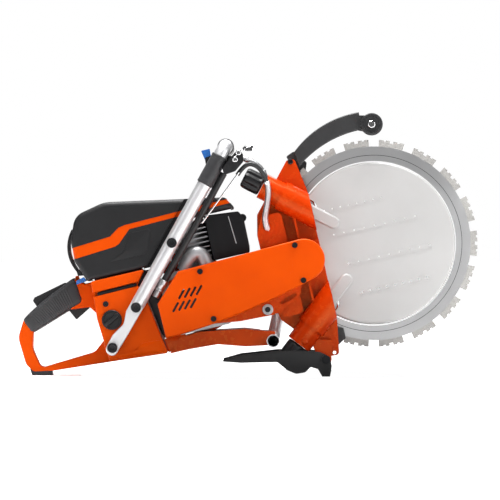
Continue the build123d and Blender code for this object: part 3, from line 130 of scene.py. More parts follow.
def rounded(profile, share=0.28, rounds=2):
    """Cuts each corner of an open profile, keeping its ends: corner-cutting done twice."""
    p = np.array(profile, float)
    for _ in range(rounds):
        a = p[:-1] * (1 - share) + p[1:] * share
        b = p[:-1] * share + p[1:] * (1 - share)
        p = np.vstack([p[:1], np.stack([a, b], 1).reshape(-1, 2), p[-1:]])
    return p


def nurbs(name, points):
    """One open NURBS spline with the route's points as its control points."""
    curve = bpy.data.curves.new(name, "CURVE")
    curve.dimensions = "3D"
    spline = curve.splines.new("NURBS")
    spline.points.add(len(points) - 1)
    spline.points.foreach_set("co", np.column_stack([points, np.ones(len(points))]).ravel())
    spline.order_u = 3
    spline.use_endpoint_u = True
    spline.resolution_u = 16
    return bpy.data.objects.new(name, curve)


def spline_line(name, points):
    """The points that such a spline passes through, read from it as a curve with no bevel."""
    route = nurbs(name, points)
    mesh = bpy.data.meshes.new_from_object(route)
    line = np.empty(len(mesh.vertices) * 3)
    mesh.vertices.foreach_get("co", line)
    bpy.data.objects.remove(route)
    bpy.data.meshes.remove(mesh)
    return line.reshape(-1, 3)


def evenly(line, count):
    """The same line with its points spaced evenly along it."""
    gone = np.concatenate([[0], np.cumsum(np.linalg.norm(np.diff(line, axis=0), axis=1))])
    at = np.linspace(0, gone[-1], count)
    return np.stack([np.interp(at, gone, line[:, i]) for i in range(3)], 1), at


def carried(name, line, radius, steps=24, ripple=None, ends="closed"):
    """Round section carried along a line: line + (radius + ripple(angle, length)) x (side x cos
    + up x sin), with side square to the line and to the across direction."""
    line, gone = line
    run = np.gradient(line, axis=0)
    run /= np.linalg.norm(run, axis=1)[:, None]
    side = np.cross(ACROSS, run)
    side /= np.linalg.norm(side, axis=1)[:, None]
    up = np.cross(run, side)
    angle = np.linspace(0, 2 * np.pi, steps, endpoint=False)
    wide = np.full((len(line), steps), radius / 1000.0)
    if ripple is not None:
        wide = wide + ripple(angle[None, :], gone[:, None] * 1000.0) / 1000.0
    cos, sin = np.cos(angle)[None, :, None], np.sin(angle)[None, :, None]
    return skin(name, line[:, None] + wide[..., None] * (side[:, None] * cos + up[:, None] * sin), ends)


# ---------------------------------------------------------------- finishes
WHITE = (1.0, 1.0, 1.0)
DRIFT = 9.0  # cells to the metre of the slow drift between two shades
GRIT = (0.12, 0.115, 0.105, 1.0)  # dark diamond specks


def new_finish(name):
    """Empty finish, its nodes, its links and its shader."""
    finish = bpy.data.materials.new(name)
    finish.use_nodes = True
    nodes, links = finish.node_tree.nodes, finish.node_tree.links
    return finish, nodes, links, nodes["Principled BSDF"]


def add(nodes, kind, **settings):
    """New node whose settings are fixed values on its sockets, or properties of the node."""
    node = nodes.new(kind)
    for key, value in settings.items():
        if key in node.inputs:
            node.inputs[key].default_value = value
        else:
            setattr(node, key, value)
    return node


def grain(nodes, links, where, scale, detail=3.0, rough=0.55):
    """Noise of that many cells to the metre."""
    noise = add(nodes, "ShaderNodeTexNoise", Scale=scale, Detail=detail, Roughness=rough)
    links.new(where, noise.inputs["Vector"])
    return noise.outputs["Fac"]


def spread(nodes, links, source, low, high, at=(0.3, 0.7)):
    """Maps a noise value onto a range."""
    ramp = add(nodes, "ShaderNodeMapRange")
    for i, value in zip((1, 2, 3, 4), (*at, low, high)):
        ramp.inputs[i].default_value = value
    links.new(source, ramp.inputs[0])
    return ramp.outputs[0]


def between(nodes, links, factor, first, second):
    """Colour mix of two fixed colours by a factor."""
    mix = add(nodes, "ShaderNodeMix", data_type="RGBA")
    mix.inputs[6].default_value = (*first, 1.0)
    mix.inputs[7].default_value = (*second, 1.0)
    links.new(factor, mix.inputs[0])
    return mix.outputs[2]


def relief(nodes, links, source, strength, depth, onto=None):
    """Bump whose height is that source, in metres of depth, on top of an earlier bump."""
    bump = add(nodes, "ShaderNodeBump", Strength=strength, Distance=depth)
    links.new(source, bump.inputs["Height"])
    if onto is not None:
        links.new(onto, bump.inputs["Normal"])
    return bump.outputs[0]


def moulded(
    name, colour, deeper, rough, texture, depth, metal=0.0, spec=0.5, coat=0.0, sheen=0.0, tint=WHITE
):
    """Moulded, cast or painted surface: a slow drift between two shades, a fine surface texture
    with a slower waviness under it, and roughness that follows the waviness."""
    finish, nodes, links, shader = new_finish(name)
    where = add(nodes, "ShaderNodeTexCoord").outputs["Object"]
    slow = grain(nodes, links, where, DRIFT, 2.0)
    mid = grain(nodes, links, where, texture * 0.12, 4.0)
    fine = grain(nodes, links, where, texture, 2.0)
    shade = between(nodes, links, spread(nodes, links, slow, 0, 1), colour, deeper)
    links.new(shade, shader.inputs["Base Color"])
    links.new(spread(nodes, links, mid, rough * 0.88, min(1.0, rough * 1.14)), shader.inputs["Roughness"])
    wavy = relief(nodes, links, mid, 0.12, depth * 3)
    links.new(relief(nodes, links, fine, 0.35, depth, wavy), shader.inputs["Normal"])
    shader.inputs["Metallic"].default_value = metal
    shader.inputs["Coat Weight"].default_value = coat
    shader.inputs["Coat Roughness"].default_value = 0.12
    shader.inputs["Sheen Weight"].default_value = sheen
    shader.inputs["Specular IOR Level"].default_value = spec
    shader.inputs["Specular Tint"].default_value = (*tint, 1.0)
    return finish


def drawn_metal(name, colour, deeper, rough, lines=900.0, depth=2e-5, metal=1.0):
    """Bare metal: a fine satin grain in its roughness and relief, under a slow drift of shade."""
    finish, nodes, links, shader = new_finish(name)
    where = add(nodes, "ShaderNodeTexCoord").outputs["Object"]
    brush = grain(nodes, links, where, lines, 3.0, 0.6)
    slow = grain(nodes, links, where, 14.0, 3.0)
    shade = between(nodes, links, spread(nodes, links, slow, 0, 1), colour, deeper)
    links.new(shade, shader.inputs["Base Color"])
    links.new(spread(nodes, links, brush, rough * 0.8, rough * 1.25), shader.inputs["Roughness"])
    links.new(relief(nodes, links, brush, 0.25, depth), shader.inputs["Normal"])
    shader.inputs["Metallic"].default_value = metal
    return finish


def ring_ground(name, colour, deeper, rough, metal, lines, depth, grit=0.0, turned_look=0.0):
    """Steel ground on a turntable: noise read by the distance from the ring's centre, and only
    slowly by the angle round it, so that the marks run in circles."""
    finish, nodes, links, shader = new_finish(name)
    where = add(nodes, "ShaderNodeTexCoord").outputs["Object"]
    centred = add(nodes, "ShaderNodeMapping")
    centred.inputs["Location"].default_value = tuple(-ring_centre)
    links.new(where, centred.inputs["Vector"])
    apart = add(nodes, "ShaderNodeSeparateXYZ")
    links.new(centred.outputs[0], apart.inputs[0])
    angle = add(nodes, "ShaderNodeMath", operation="ARCTAN2")
    links.new(apart.outputs["Z"], angle.inputs[0])
    links.new(apart.outputs["X"], angle.inputs[1])
    flat = add(nodes, "ShaderNodeCombineXYZ")
    links.new(apart.outputs["X"], flat.inputs["X"])
    links.new(apart.outputs["Z"], flat.inputs["Z"])
    length = add(nodes, "ShaderNodeVectorMath", operation="LENGTH")
    links.new(flat.outputs[0], length.inputs[0])
    slowly = add(nodes, "ShaderNodeMath", operation="MULTIPLY")
    slowly.inputs[1].default_value = 0.004
    links.new(angle.outputs[0], slowly.inputs[0])
    polar = add(nodes, "ShaderNodeCombineXYZ")
    links.new(length.outputs["Value"], polar.inputs["X"])
    links.new(slowly.outputs[0], polar.inputs["Y"])
    marks = grain(nodes, links, polar.outputs[0], lines, 4.0, 0.65)
    slow = grain(nodes, links, where, 7.0, 2.0)
    shade = between(nodes, links, spread(nodes, links, slow, 0, 1), colour, deeper)
    if grit:
        speck = add(nodes, "ShaderNodeTexVoronoi", Scale=grit)
        links.new(where, speck.inputs["Vector"])
        dots = spread(nodes, links, speck.outputs["Distance"], 1, 0, (0.12, 0.42))
        blend = add(nodes, "ShaderNodeMix", data_type="RGBA")
        blend.inputs[7].default_value = GRIT
        links.new(dots, blend.inputs[0])
        links.new(shade, blend.inputs[6])
        shade = blend.outputs[2]
        links.new(relief(nodes, links, speck.outputs["Distance"], 0.6, depth), shader.inputs["Normal"])
    else:
        links.new(relief(nodes, links, marks, 0.2, depth), shader.inputs["Normal"])
    links.new(shade, shader.inputs["Base Color"])
    links.new(spread(nodes, links, marks, rough * 0.8, rough * 1.2), shader.inputs["Roughness"])
    shader.inputs["Metallic"].default_value = metal
    shader.inputs["Anisotropic"].default_value = turned_look
    if turned_look:
        tangent = add(nodes, "ShaderNodeTangent", direction_type="RADIAL", axis="Y")
        links.new(tangent.outputs[0], shader.inputs["Tangent"])
    return finish


ORANGE, DEEP_ORANGE = (0.72, 0.070, 0.001), (0.64, 0.054, 0.001)
WARM = (1.0, 0.62, 0.18)
finishes = {
    "orange_plastic": moulded(
        "orange moulding", ORANGE, DEEP_ORANGE,
        0.34, 1500.0, 4e-5, spec=0.25, tint=WARM,
    ),
    "orange_casting": moulded(
        "orange powder coat", (0.60, 0.040, 0.001), (0.46, 0.025, 0.001),
        0.26, 700.0, 1e-4, coat=0.04, spec=0.45, tint=WARM,
    ),
    "grey_cover": moulded(
        "dark grey cover moulding", (0.011, 0.011, 0.012), (0.008, 0.008, 0.009),
        0.46, 1800.0, 6e-5, spec=0.3,
    ),
    "black_plastic": moulded(
        "black moulding", (0.006, 0.006, 0.007), (0.010, 0.010, 0.011),
        0.38, 1600.0, 5e-5, spec=0.35,
    ),
    "grey_guard": moulded(
        "grey guard paint", (0.028, 0.028, 0.029), (0.021, 0.021, 0.022),
        0.40, 900.0, 8e-5, spec=0.35,
    ),
    "black_steel": moulded(
        "black heat coat", (0.003, 0.003, 0.004), (0.005, 0.005, 0.006),
        0.40, 1100.0, 6e-5, spec=0.2,
    ),
    "rubber_black": moulded(
        "black rubber", (0.012, 0.012, 0.013), (0.018, 0.018, 0.019),
        0.34, 1300.0, 5e-5, sheen=0.05, spec=0.4,
    ),
    "rubber_grip": moulded(
        "grey grip rubber", (0.028, 0.028, 0.030), (0.020, 0.020, 0.022),
        0.42, 2200.0, 1e-4, sheen=0.08, spec=0.4,
    ),
    "blue_plastic": moulded(
        "blue control moulding", (0.012, 0.16, 0.56), (0.010, 0.13, 0.48),
        0.32, 1500.0, 4e-5, coat=0.3,
    ),
    "aluminium_tube": drawn_metal(
        "satin aluminium tube", (0.74, 0.74, 0.75), (0.67, 0.67, 0.685),
        0.38, 1200.0, metal=0.7,
    ),
    "cast_aluminium": moulded(
        "bead-blasted aluminium", (0.50, 0.50, 0.51), (0.40, 0.40, 0.41),
        0.48, 800.0, 1e-4, metal=0.85,
    ),
    "steel": drawn_metal("turned steel", (0.52, 0.52, 0.53), (0.44, 0.44, 0.45), 0.32),
    "ring_steel": ring_ground(
        "ground ring steel", (0.50, 0.50, 0.505), (0.42, 0.42, 0.425),
        0.34, 1.0, 1600.0, 2e-5, turned_look=0.75,
    ),
    "disc_steel": ring_ground(
        "pale pressed sheet", (0.50, 0.495, 0.49), (0.46, 0.455, 0.45),
        0.40, 0.1, 500.0, 2e-5,
    ),
    "diamond_segment": ring_ground(
        "sintered segment", (0.48, 0.47, 0.45), (0.40, 0.39, 0.375),
        0.62, 0.45, 900.0, 1.5e-4, 1100.0,
    ),
    "chrome_part": drawn_metal(
        "bright chrome", (0.86, 0.86, 0.87), (0.82, 0.82, 0.83),
        0.09, lines=300.0, depth=5e-6,
    ),
    "black_screw": drawn_metal("black oxide screw", (0.035, 0.035, 0.037), (0.022, 0.022, 0.024), 0.36),
    "braid": drawn_metal("wound steel wire", (0.70, 0.70, 0.72), (0.60, 0.60, 0.62), 0.30),
    "filter_foam": moulded("filter foam", (0.05, 0.05, 0.05), (0.03, 0.03, 0.03), 0.95, 600.0, 4e-4),
}
node_slots = {row["node"]: row["material_slot"] for row in frame["record"]["subparts"]}
for node, piece in frame["nodes"].items():
    if not piece.material_slots:
        piece.data.materials.append(finishes[node_slots[node]])
    for holder in piece.material_slots:
        holder.material = finishes[node_slots[node]]


def fit(piece, body, slot, *nodes):
    """Gives a piece its finish, its body and the nodes that it stands for."""
    piece.data.materials.append(finishes[slot])
    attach(piece, body)
    if nodes:
        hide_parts(*nodes)
    return piece


# ---------------------------------------------------------------- rear grip
def rear_grip():
    """Boxy section between the grip's lower and upper lines: centre line + half height x signed
    sine to the power 0.42 + half width x signed cosine to the power 0.42, with both ends drawn in
    by an exponential and a row of shallow ribs on the sides."""
    t = np.linspace(0, 1, 120)
    knots = np.array([0.0, 0.3, 0.7, 1.0])
    lower = np.array([(-306.5, 1.0), (-272.0, 12.5), (-237.0, 24.5), (-207.0, 33.0)])
    upper = np.array([(-318.5, 29.0), (-292.0, 45.5), (-250.0, 66.0), (-212.0, 83.0)])
    low = np.stack([np.polyval(np.polyfit(knots, lower[:, i], 3), t) for i in (0, 1)], 1)
    top = np.stack([np.polyval(np.polyfit(knots, upper[:, i], 3), t) for i in (0, 1)], 1)
    centre, lift = (low + top) / 2, (top - low) / 2
    drawn = 1 - 0.09 * np.exp(-t / 0.02) - 0.09 * np.exp(-(1 - t) / 0.02)
    width = (17.4 + 0.8 * np.sin(np.pi * t)) * drawn
    a = np.linspace(0, 2 * np.pi, 96, endpoint=False)
    c, s = np.cos(a), np.sin(a)
    c, s = np.sign(c) * np.abs(c) ** 0.42, np.sign(s) * np.abs(s) ** 0.42
    ribbed = (np.abs(c) > 0.75)[None, :] * ((t > 0.14) & (t < 0.86))[:, None]
    ribs = 1 + 0.016 * np.cos(2 * np.pi * t * 26)[:, None] * ribbed
    x = centre[:, :1] + lift[:, :1] * drawn[:, None] * s
    z = centre[:, 1:] + lift[:, 1:] * drawn[:, None] * s
    y = 15.0 + width[:, None] * c * ribs
    return skin("rear_grip_rubber", on_saw(x, y, z), crease=60.0)


fit(rear_grip(), "saw", "rubber_grip", "rear_grip")

# ---------------------------------------------------------------- roller adjuster knobs
KNOB_REACH, KNOB_SIDE, KNOB_LONG, KNOB_WIDE = 224.5, 34.6, 36.0, 20.0


def adjuster_knob(name, up_or_down):
    """Turned body whose radius dips at six finger grooves: 1 - 0.13 x cosine lobe to the fourth
    power, fading out at both ends, with rounded rims and a shallow dish in the top."""
    lean = math.radians(180.0 - up_or_down * 40.0)
    axis = heading(math.cos(lean), 0.0, math.sin(lean))
    start = ring_centre + axis * KNOB_REACH / 1000.0 - KNOB_SIDE / 1000.0 * ACROSS
    body = [
        (0, 13), (0.6, 17.5), (3, 19.2), (8, KNOB_WIDE), (30, KNOB_WIDE), (34.5, 18.2),
        (KNOB_LONG, 15), (KNOB_LONG, 9), (34.6, 7), (34.4, 0.5),
    ]
    profile = rounded(body)

    def lobes(angle, distance):
        held = np.clip((distance - 3) / 5, 0, 1) * np.clip((KNOB_LONG - distance) / 2.5, 0, 1)
        return 1 - 0.13 * held * np.abs(np.cos(3 * angle)) ** 6

    return turned(name, start, axis, profile, 144, lobes)


fit(adjuster_knob("upper_adjuster_grip", 1), "upper_knob", "black_plastic", "upper_adjuster_knob")
fit(adjuster_knob("lower_adjuster_grip", -1), "lower_knob", "black_plastic", "lower_adjuster_knob")

# ---------------------------------------------------------------- front handle rubbers
STRUT = math.radians(48.0)
RUBBER_R = 14.7
strut_way = heading(math.cos(STRUT), 0.0, math.sin(STRUT))


def strut_at(distance, off=0.0, across=-78.0):
    """Place along the front handle's strut, off it to the front, and across the saw."""
    distance, off = np.asarray(distance, float), np.asarray(off, float)
    x = -113.3 + distance * math.cos(STRUT) + off * math.sin(STRUT)
    z = 5.7 + distance * math.sin(STRUT) - off * math.cos(STRUT)
    return on_saw(x, across, z)


def sleeve_profile(length, radius):
    """Half-round lips at both ends and two shallow rings just inside each lip."""
    s = np.linspace(0, length, 120)
    near = np.minimum(s, length - s)
    lip = np.sqrt(np.clip(1 - (1 - np.clip(near / 2.0, 0, 1)) ** 2, 0, 1))
    rings = 0.35 * np.exp(-(((near - 6) / 0.6) ** 2)) + 0.35 * np.exp(-(((near - 9) / 0.6) ** 2))
    return np.stack([s, radius - 2.1 + 2.1 * lip - rings], 1)


def fluted(angle, distance):
    """Thirty shallow flutes."""
    return 1 + 0.006 * np.cos(30 * angle)


strut_rubber = turned("strut_rubber", strut_at(248), strut_way, sleeve_profile(58.0, RUBBER_R), 96)
fit(strut_rubber, "saw", "rubber_grip", "handle_sleeve")
top_bar = strut_at(325.0, 0.0, -46.0)
top_bar_rubber = turned("top_bar_rubber", top_bar, ACROSS, sleeve_profile(148.0, RUBBER_R), 180, fluted)
fit(top_bar_rubber, "saw", "rubber_grip")

# ---------------------------------------------------------------- water hose and its wire sleeve
hose_corners = on_saw(
    [113, 131, 150, 160, 162, 152, 141, 144],
    [-74, -74, -72, -68, -66, -63, -58, -40],
    [193, 210, 203, 182, 156, 128, 104, 88],
)
hose_line = spline_line("hose_route", hose_corners)
hose = fit(carried("outlet_water_hose", evenly(hose_line, 140), 3.9), "saw", "rubber_black", "outlet_hose")
WIRE_PITCH = 1.9


def wire_turns(angle, length):
    """Wire crests: a raised cosine that advances one turn for each wire pitch."""
    return 0.55 * (0.5 + 0.5 * np.cos(angle - 2 * np.pi * length / WIRE_PITCH)) ** 0.7


sleeved = hose_line[int(len(hose_line) * 0.5) :]
wire_sleeve = carried("wire_sleeve", evenly(sleeved, 420), 4.9, 32, wire_turns)
fit(wire_sleeve, "saw", "braid", "hose_sleeve")
ferrule_at, ferrule_way = sleeved[0], sleeved[1] - sleeved[0]
ferrule_way = ferrule_way / np.linalg.norm(ferrule_way)
ferrule = rounded([(-2.5, 4.2), (-2.5, 5.5), (0, 5.9), (2.5, 5.5), (2.5, 4.9)])
sleeve_ferrule = fit(turned("sleeve_ferrule", ferrule_at, ferrule_way, ferrule, 40), "saw", "chrome_part")


# ---------------------------------------------------------------- inlet coupling
coupling = [
    (0, 3.5), (0, 5.6), (1, 6.4), (11, 6.4), (11.6, 7.4), (13, 8.4), (16, 8.4), (16.6, 7.2), (17, 7.0),
    (18.0, 7.6), (26, 7.6), (26.6, 8.6), (33, 8.9), (34, 8.0), (34, 6.2),
]


def coupling_grip(angle, distance):
    """Fine grip ribs on the collar nearest the hose."""
    return 1 + 0.03 * np.cos(20 * angle) * ((distance > 27) & (distance < 33))


inlet_start = strut_at(32, 20.5, -71.0)
inlet_coupling = turned("inlet_coupling", inlet_start, strut_way, coupling, 120, coupling_grip)
fit(inlet_coupling, "saw", "steel", "inlet_connector")
inlet_points = strut_at([66, 100, 150, 200, 250, 282], [20.5, 20.7, 21.0, 21.0, 20.7, 20.5], -71.0)
inlet_line = spline_line("inlet_route", inlet_points)
inlet_hose = carried("inlet_water_hose", evenly(inlet_line, 60), 6.2)
fit(inlet_hose, "saw", "rubber_black", "inlet_hose")

# ---------------------------------------------------------------- tap nut
def six_flats(angle, inscribed):
    """The inscribed radius over the cosine of the angle from the nearest of six flats."""
    return inscribed / np.cos((angle + np.pi / 6) % (np.pi / 3) - np.pi / 6)


def domed_hexagon(angle, distance):
    """Six flats with rounded corners below the dome, and round above."""
    return np.where(distance < 3.1, np.minimum(six_flats(angle, 0.875), 0.985), 1.0)


nut = [
    (0, 7), (0, 11.8), (0.4, 12.5), (2.4, 12.5), (2.9, 11.8), (3.2, 9.4), (3.4, 8.8), (5.2, 8.6),
    (6.2, 7.6), (6.7, 5.4), (6.9, 2.5), (6.95, 0.4),
]
nut_seat = on_saw(142.5, -92.2, 230.0)
fit(turned("tap_dome_nut", nut_seat, -ACROSS, nut, 96, domed_hexagon), "saw", "chrome_part", "tap_nut")

# ---------------------------------------------------------------- fuel cap
CAP_X, CAP_Z = -160.7, -6.5


def fuel_cap():
    """Turned cap whose rim carries 28 fine flutes."""
    body = [(0, 9), (0, 17.2), (0.5, 17.9), (3.9, 17.9), (4.7, 17.0), (4.8, 14.6), (3.6, 13.8), (3.4, 0.5)]

    def flutes(angle, distance):
        return 1 - 0.022 * (0.5 + 0.5 * np.cos(28 * angle)) * (distance > 0.3) * (distance < 4.2)

    return turned("fuel_cap_body", on_saw(CAP_X, -60.3, CAP_Z), -ACROSS, body, 224, flutes)


def fuel_cap_bar():
    """Rounded bar across the cap: half width x (1 - u to the sixth) to the power one sixth along
    its length u, standing 8 mm out with a crowned top."""
    u = np.linspace(-0.999, 0.999, 60)
    half = 4.6 * (1 - np.abs(u) ** 6) ** (1 / 6)
    a = np.linspace(0, 2 * np.pi, 40, endpoint=False)
    c, s = np.cos(a), np.sin(a)
    c, s = np.sign(c) * np.abs(c) ** 0.6, np.sign(s) * np.abs(s) ** 0.6
    turn = math.radians(28.0)
    run, wide = 15.5 * u[:, None] + 0 * c, half[:, None] * c
    x = CAP_X + run * math.cos(turn) - wide * math.sin(turn)
    z = CAP_Z + run * math.sin(turn) + wide * math.cos(turn)
    y = -66.8 - 4.6 * (1 - 0.25 * u[:, None] ** 2) * s
    return skin("fuel_cap_bar", on_saw(x, y, z))


fit(fuel_cap(), "cap", "black_plastic", "fuel_cap")
fit(fuel_cap_bar(), "cap", "black_plastic")

# ---------------------------------------------------------------- nose roller
wheel = [
    (0, 5), (0, 17.5), (0.8, 19.2), (2, 20), (6.5, 20), (7.9, 19.0), (8.5, 17.2), (8.5, 15.2),
    (7.4, 14.6), (7.2, 9), (8.3, 8.2), (8.4, 5),
]
roller_spin = next(row for row in frame["joints"] if row["name"] == "nose_roller_spin")
roller_pin = np.array(roller_spin["pos_m"])
wheel_seat = roller_pin * [1, 0, 1] + (ring_centre - 0.0165 * ACROSS) * [0, 1, 0]
nose_wheel = turned("nose_wheel", wheel_seat, -ACROSS, wheel, 96, ends="joined")
fit(nose_wheel, "nose_roller", "rubber_black", "guard_roller")
pin_head = rounded([(0, 5), (0, 6.6), (1.6, 6.8), (2.8, 6.0), (3.0, 3.6), (2.0, 3.2), (2.0, 0.2)])
roller_pin_head = turned("roller_pin_head", wheel_seat - 0.0072 * ACROSS, -ACROSS, pin_head, 48)
fit(roller_pin_head, "nose_roller", "chrome_part")

# ---------------------------------------------------------------- intake elbow and outlet elbow
elbow_line = spline_line("elbow_route", on_saw([-18, -8, 6, 17, 23, 24], -46, [50, 64, 75, 74, 64, 48]))
fit(carried("intake_elbow", evenly(elbow_line, 60), 12.6, 48), "saw", "cast_aluminium", "exhaust_elbow")
outlet_line = spline_line("outlet_route", on_saw([130, 141, 153, 160, 161], -62, [220, 213, 202, 186, 177]))


def elbow_rings(angle, length):
    """Two raised collars, one at each end: bumps along the length that fall off as the exponential
    of the fourth power of the distance from their middles."""
    collar_1, collar_2 = ((length - at) / 2.2 for at in (6, 44))
    return 0.9 * np.exp(-(collar_1**4)) + 0.9 * np.exp(-(collar_2**4)) + 0 * angle


fit(carried("outlet_elbow", evenly(outlet_line, 90), 4.8, 40, elbow_rings), "saw", "steel")
rod_line = np.linspace(on_saw(33, -79.3, 124), on_saw(117, -79.3, 197), 12)
fit(carried("hose_guide_rod", evenly(rod_line, 12), 1.5, 20), "saw", "chrome_part")
seam_line = np.linspace(on_saw(81, -46.6, 126), on_saw(84, -46.6, 76), 12)
fit(carried("muffler_seam_bead", evenly(seam_line, 12), 0.8, 16), "saw", "cast_aluminium")


# ---------------------------------------------------------------- bolts, washers and the roller block
def turned_on_side(name, x, y, z, profile, slot, shape=None, steps=64):
    """Small turned piece that faces the right side of the saw."""
    start = on_saw(x, y, z).reshape(3)
    return fit(turned(name, start, -ACROSS, rounded(profile, 0.2, 1), steps, shape), "saw", slot)


def ring_side(x, z):
    """Place given from the ring's centre, as along and up from the crankshaft."""
    apart = ring_centre - crank
    return x + 1000 * (apart @ ALONG), z + 1000 * (apart @ UPRIGHT)


socket_head = [(-2, 2.8), (0, 2.9), (0, 4.9), (2.6, 4.9), (3.2, 4.3), (3.2, 2.5), (1.4, 2.4), (1.4, 0.2)]
for where, spot in (("upper", (-112.8, 175.2)), ("lower", (-122.0, -153.0))):
    bx, bz = ring_side(*spot)
    turned_on_side(where + "_bracket_bolt", bx, -16.0, bz, socket_head, "black_screw")
washer = [(0, 4.0), (0, 9.4), (0.4, 9.8), (2.0, 9.8), (2.5, 9.2), (2.5, 5.2)]
for number, (wx, wz) in enumerate(((112.0, -50.5), (118.0, 36.0))):
    turned_on_side("tension_washer_%d" % (number + 1), wx, -58.4, wz, washer, "cast_aluminium")
rim = [(0, 4.6), (0, 5.0), (2.9, 5.0), (3.5, 4.4), (3.5, 2.9), (2.6, 2.7)]
for number, (sx, sz) in enumerate(((124.0, 231.0), (115.5, 220.5))):
    turned_on_side("clamp_screw_rim_%d" % (number + 1), sx, -92.0, sz, rim, "chrome_part")
nx, nz = ring_side(-161.0, -141.0)
domed_head = [(0, 6.5), (2.0, 6.2), (3.6, 4.6), (4.4, 2.4), (4.6, 0.2)]
turned_on_side("neck_screw", nx, -55.0, nz, domed_head, "orange_casting")


def six_sided(angle, distance):
    """Six flats all the way along."""
    return six_flats(angle, 0.87)


gx, gz = ring_side(-103.0, -144.0)
block = [(0, 14), (0.3, 17.0), (1.6, 18.4), (9.0, 18.4), (10.6, 17.0), (11.0, 14), (11.0, 0.3)]
turned_on_side("ring_guide_block", gx, -4.4, gz, block, "grey_guard", six_sided, 96)

# ---------------------------------------------------------------- strut bolts
strut_bolt = [(0, 7.0), (0, 8.4), (0.6, 9.0), (2.6, 9.0), (3.4, 8.2), (3.6, 5.2), (2.0, 4.6), (2.0, 0.3)]
for number, (bolt_x, bolt_z) in enumerate(((-169.7, -54.2), (-113.3, 5.7), (-26.3, 102.4))):
    turned_on_side("strut_bolt_%d" % (number + 1), bolt_x, -90.3, bolt_z, strut_bolt, "black_screw")


# ---------------------------------------------------------------- panels between tank, cover and belt guard, some of them black plates of painted shade
def panel(name, corners, y_near, y_far, slot, rim=1.2):
    """Plate with a rolled rim: the outline's corners rounded by corner-cutting, then drawn in by
    rim x (1 - sine) and pushed back by rim x (1 - cosine) of a quarter turn at both faces."""
    closed = np.array(corners + corners[:1], float)
    (x0, z0), (x1, z1) = closed[:-1].T, closed[1:].T
    if np.sum((x1 - x0) * (z1 + z0)) < 0:
        closed = closed[::-1]
    line = rounded(closed, 0.12, 2)[:-1]
    out = line - line.mean(0)
    out /= np.linalg.norm(out, axis=1)[:, None]
    turn = np.linspace(0, np.pi / 2, 5)
    inset = rim * (1 - np.sin(np.concatenate([turn, turn[::-1]])))
    back = rim * (1 - np.cos(turn))
    y = np.concatenate([y_near + back, y_far - back[::-1]])
    ring = line[None] - out[None] * inset[:, None, None]
    depth = np.broadcast_to(y[:, None], ring.shape[:2])
    return fit(skin(name, on_saw(ring[..., 0], depth, ring[..., 1]), crease=50.0), "saw", slot)


# Black plate set back in the gap between tank and belt guard: painted shade filling the gap.
belt_gap_shade_outline = [(-100, 66), (-68, 66), (-57, 12), (-56, -58), (-80, -60), (-92, 20), (-104, 44)]
panel("belt_gap_painted_shade", belt_gap_shade_outline, -38.0, -32.0, "black_plastic")
seat = [(-176, 64.5), (-90, 64.5), (-90, 72.5), (-176, 72.5)]
panel("cover_seat_strip", seat, -36.0, 30.0, "black_plastic")
foot = [(-79, -61), (-40, -57), (-40, -70), (-58, -82), (-77, -86)]
panel("frame_foot", foot, -44.0, -20.0, "orange_casting")
step = [(-176, 40.8), (-105, 42), (-104, 48), (-176, 46.8)]
panel("tank_step_shade", step, -53.6, -49.0, "black_plastic", 0.5)
behind_vents = [(-58, -34), (2, -34), (14, 24), (-48, 12)]
panel("vent_shade", behind_vents, -86.6, -85.2, "black_plastic", 0.5)
cover_side = [(-97.5, 136), (-57, 136), (-74.6, 94), (-112, 93), (-142, 94), (-116, 104)]
panel("cover_side_relief", cover_side, -58.7, -56.0, "grey_cover", 0.7)
rail = [(-180, -67), (-130, -69), (-119, -58.5), (-84, -60), (-81, -82), (-178, -74)]
panel("tank_rail", rail, -61.0, -58.0, "orange_plastic", 0.9)


# ---------------------------------------------------------------- painted shade on the ring: the groove and the segments' bases
SEGMENTS, SHADOW_SWEEP = 18, 13.0
FIRST_SHADOW = -math.degrees(NOSE_UP) - SHADOW_SWEEP / 2


def ring_shade_bar(name, low_r, high_r, start, sweep, rows):
    """Black bar of painted shade that follows an arc of the ring: four corners of a small section,
    carried round an arc of the given start and sweep in degrees, standing 0.12 mm off the near face."""
    angle = np.radians(np.linspace(start, start + sweep, rows))[:, None, None]
    radius = np.array([low_r, high_r, high_r, low_r])[:, None] / 1000.0
    off = np.array([1.82, 1.82, 1.2, 1.2])[:, None] / 1000.0
    spot = ring_centre + radius * (np.cos(angle) * ALONG + np.sin(angle) * UPRIGHT) - off * ACROSS
    whole = sweep == 360
    mark = skin(name, spot[:-1] if whole else spot, "joined" if whole else "closed")
    return fit(mark, "cutting_ring", "black_steel")


# Black ring standing 0.12 mm off the ring's near face at the groove: painted shade of the groove.
ring_shade_bar("ring_groove_painted_shade", 157.1, 157.9, 0.0, 360, 145)
# Black arcs at the inner edge of each segment: painted shadow where the segments stand proud of the core.
for number in range(SEGMENTS):
    start = FIRST_SHADOW + 360.0 / SEGMENTS * number
    ring_shade_bar("segment_base_shadow_%02d" % (number + 1), 173.4, 174.4, start, SHADOW_SWEEP, 9)

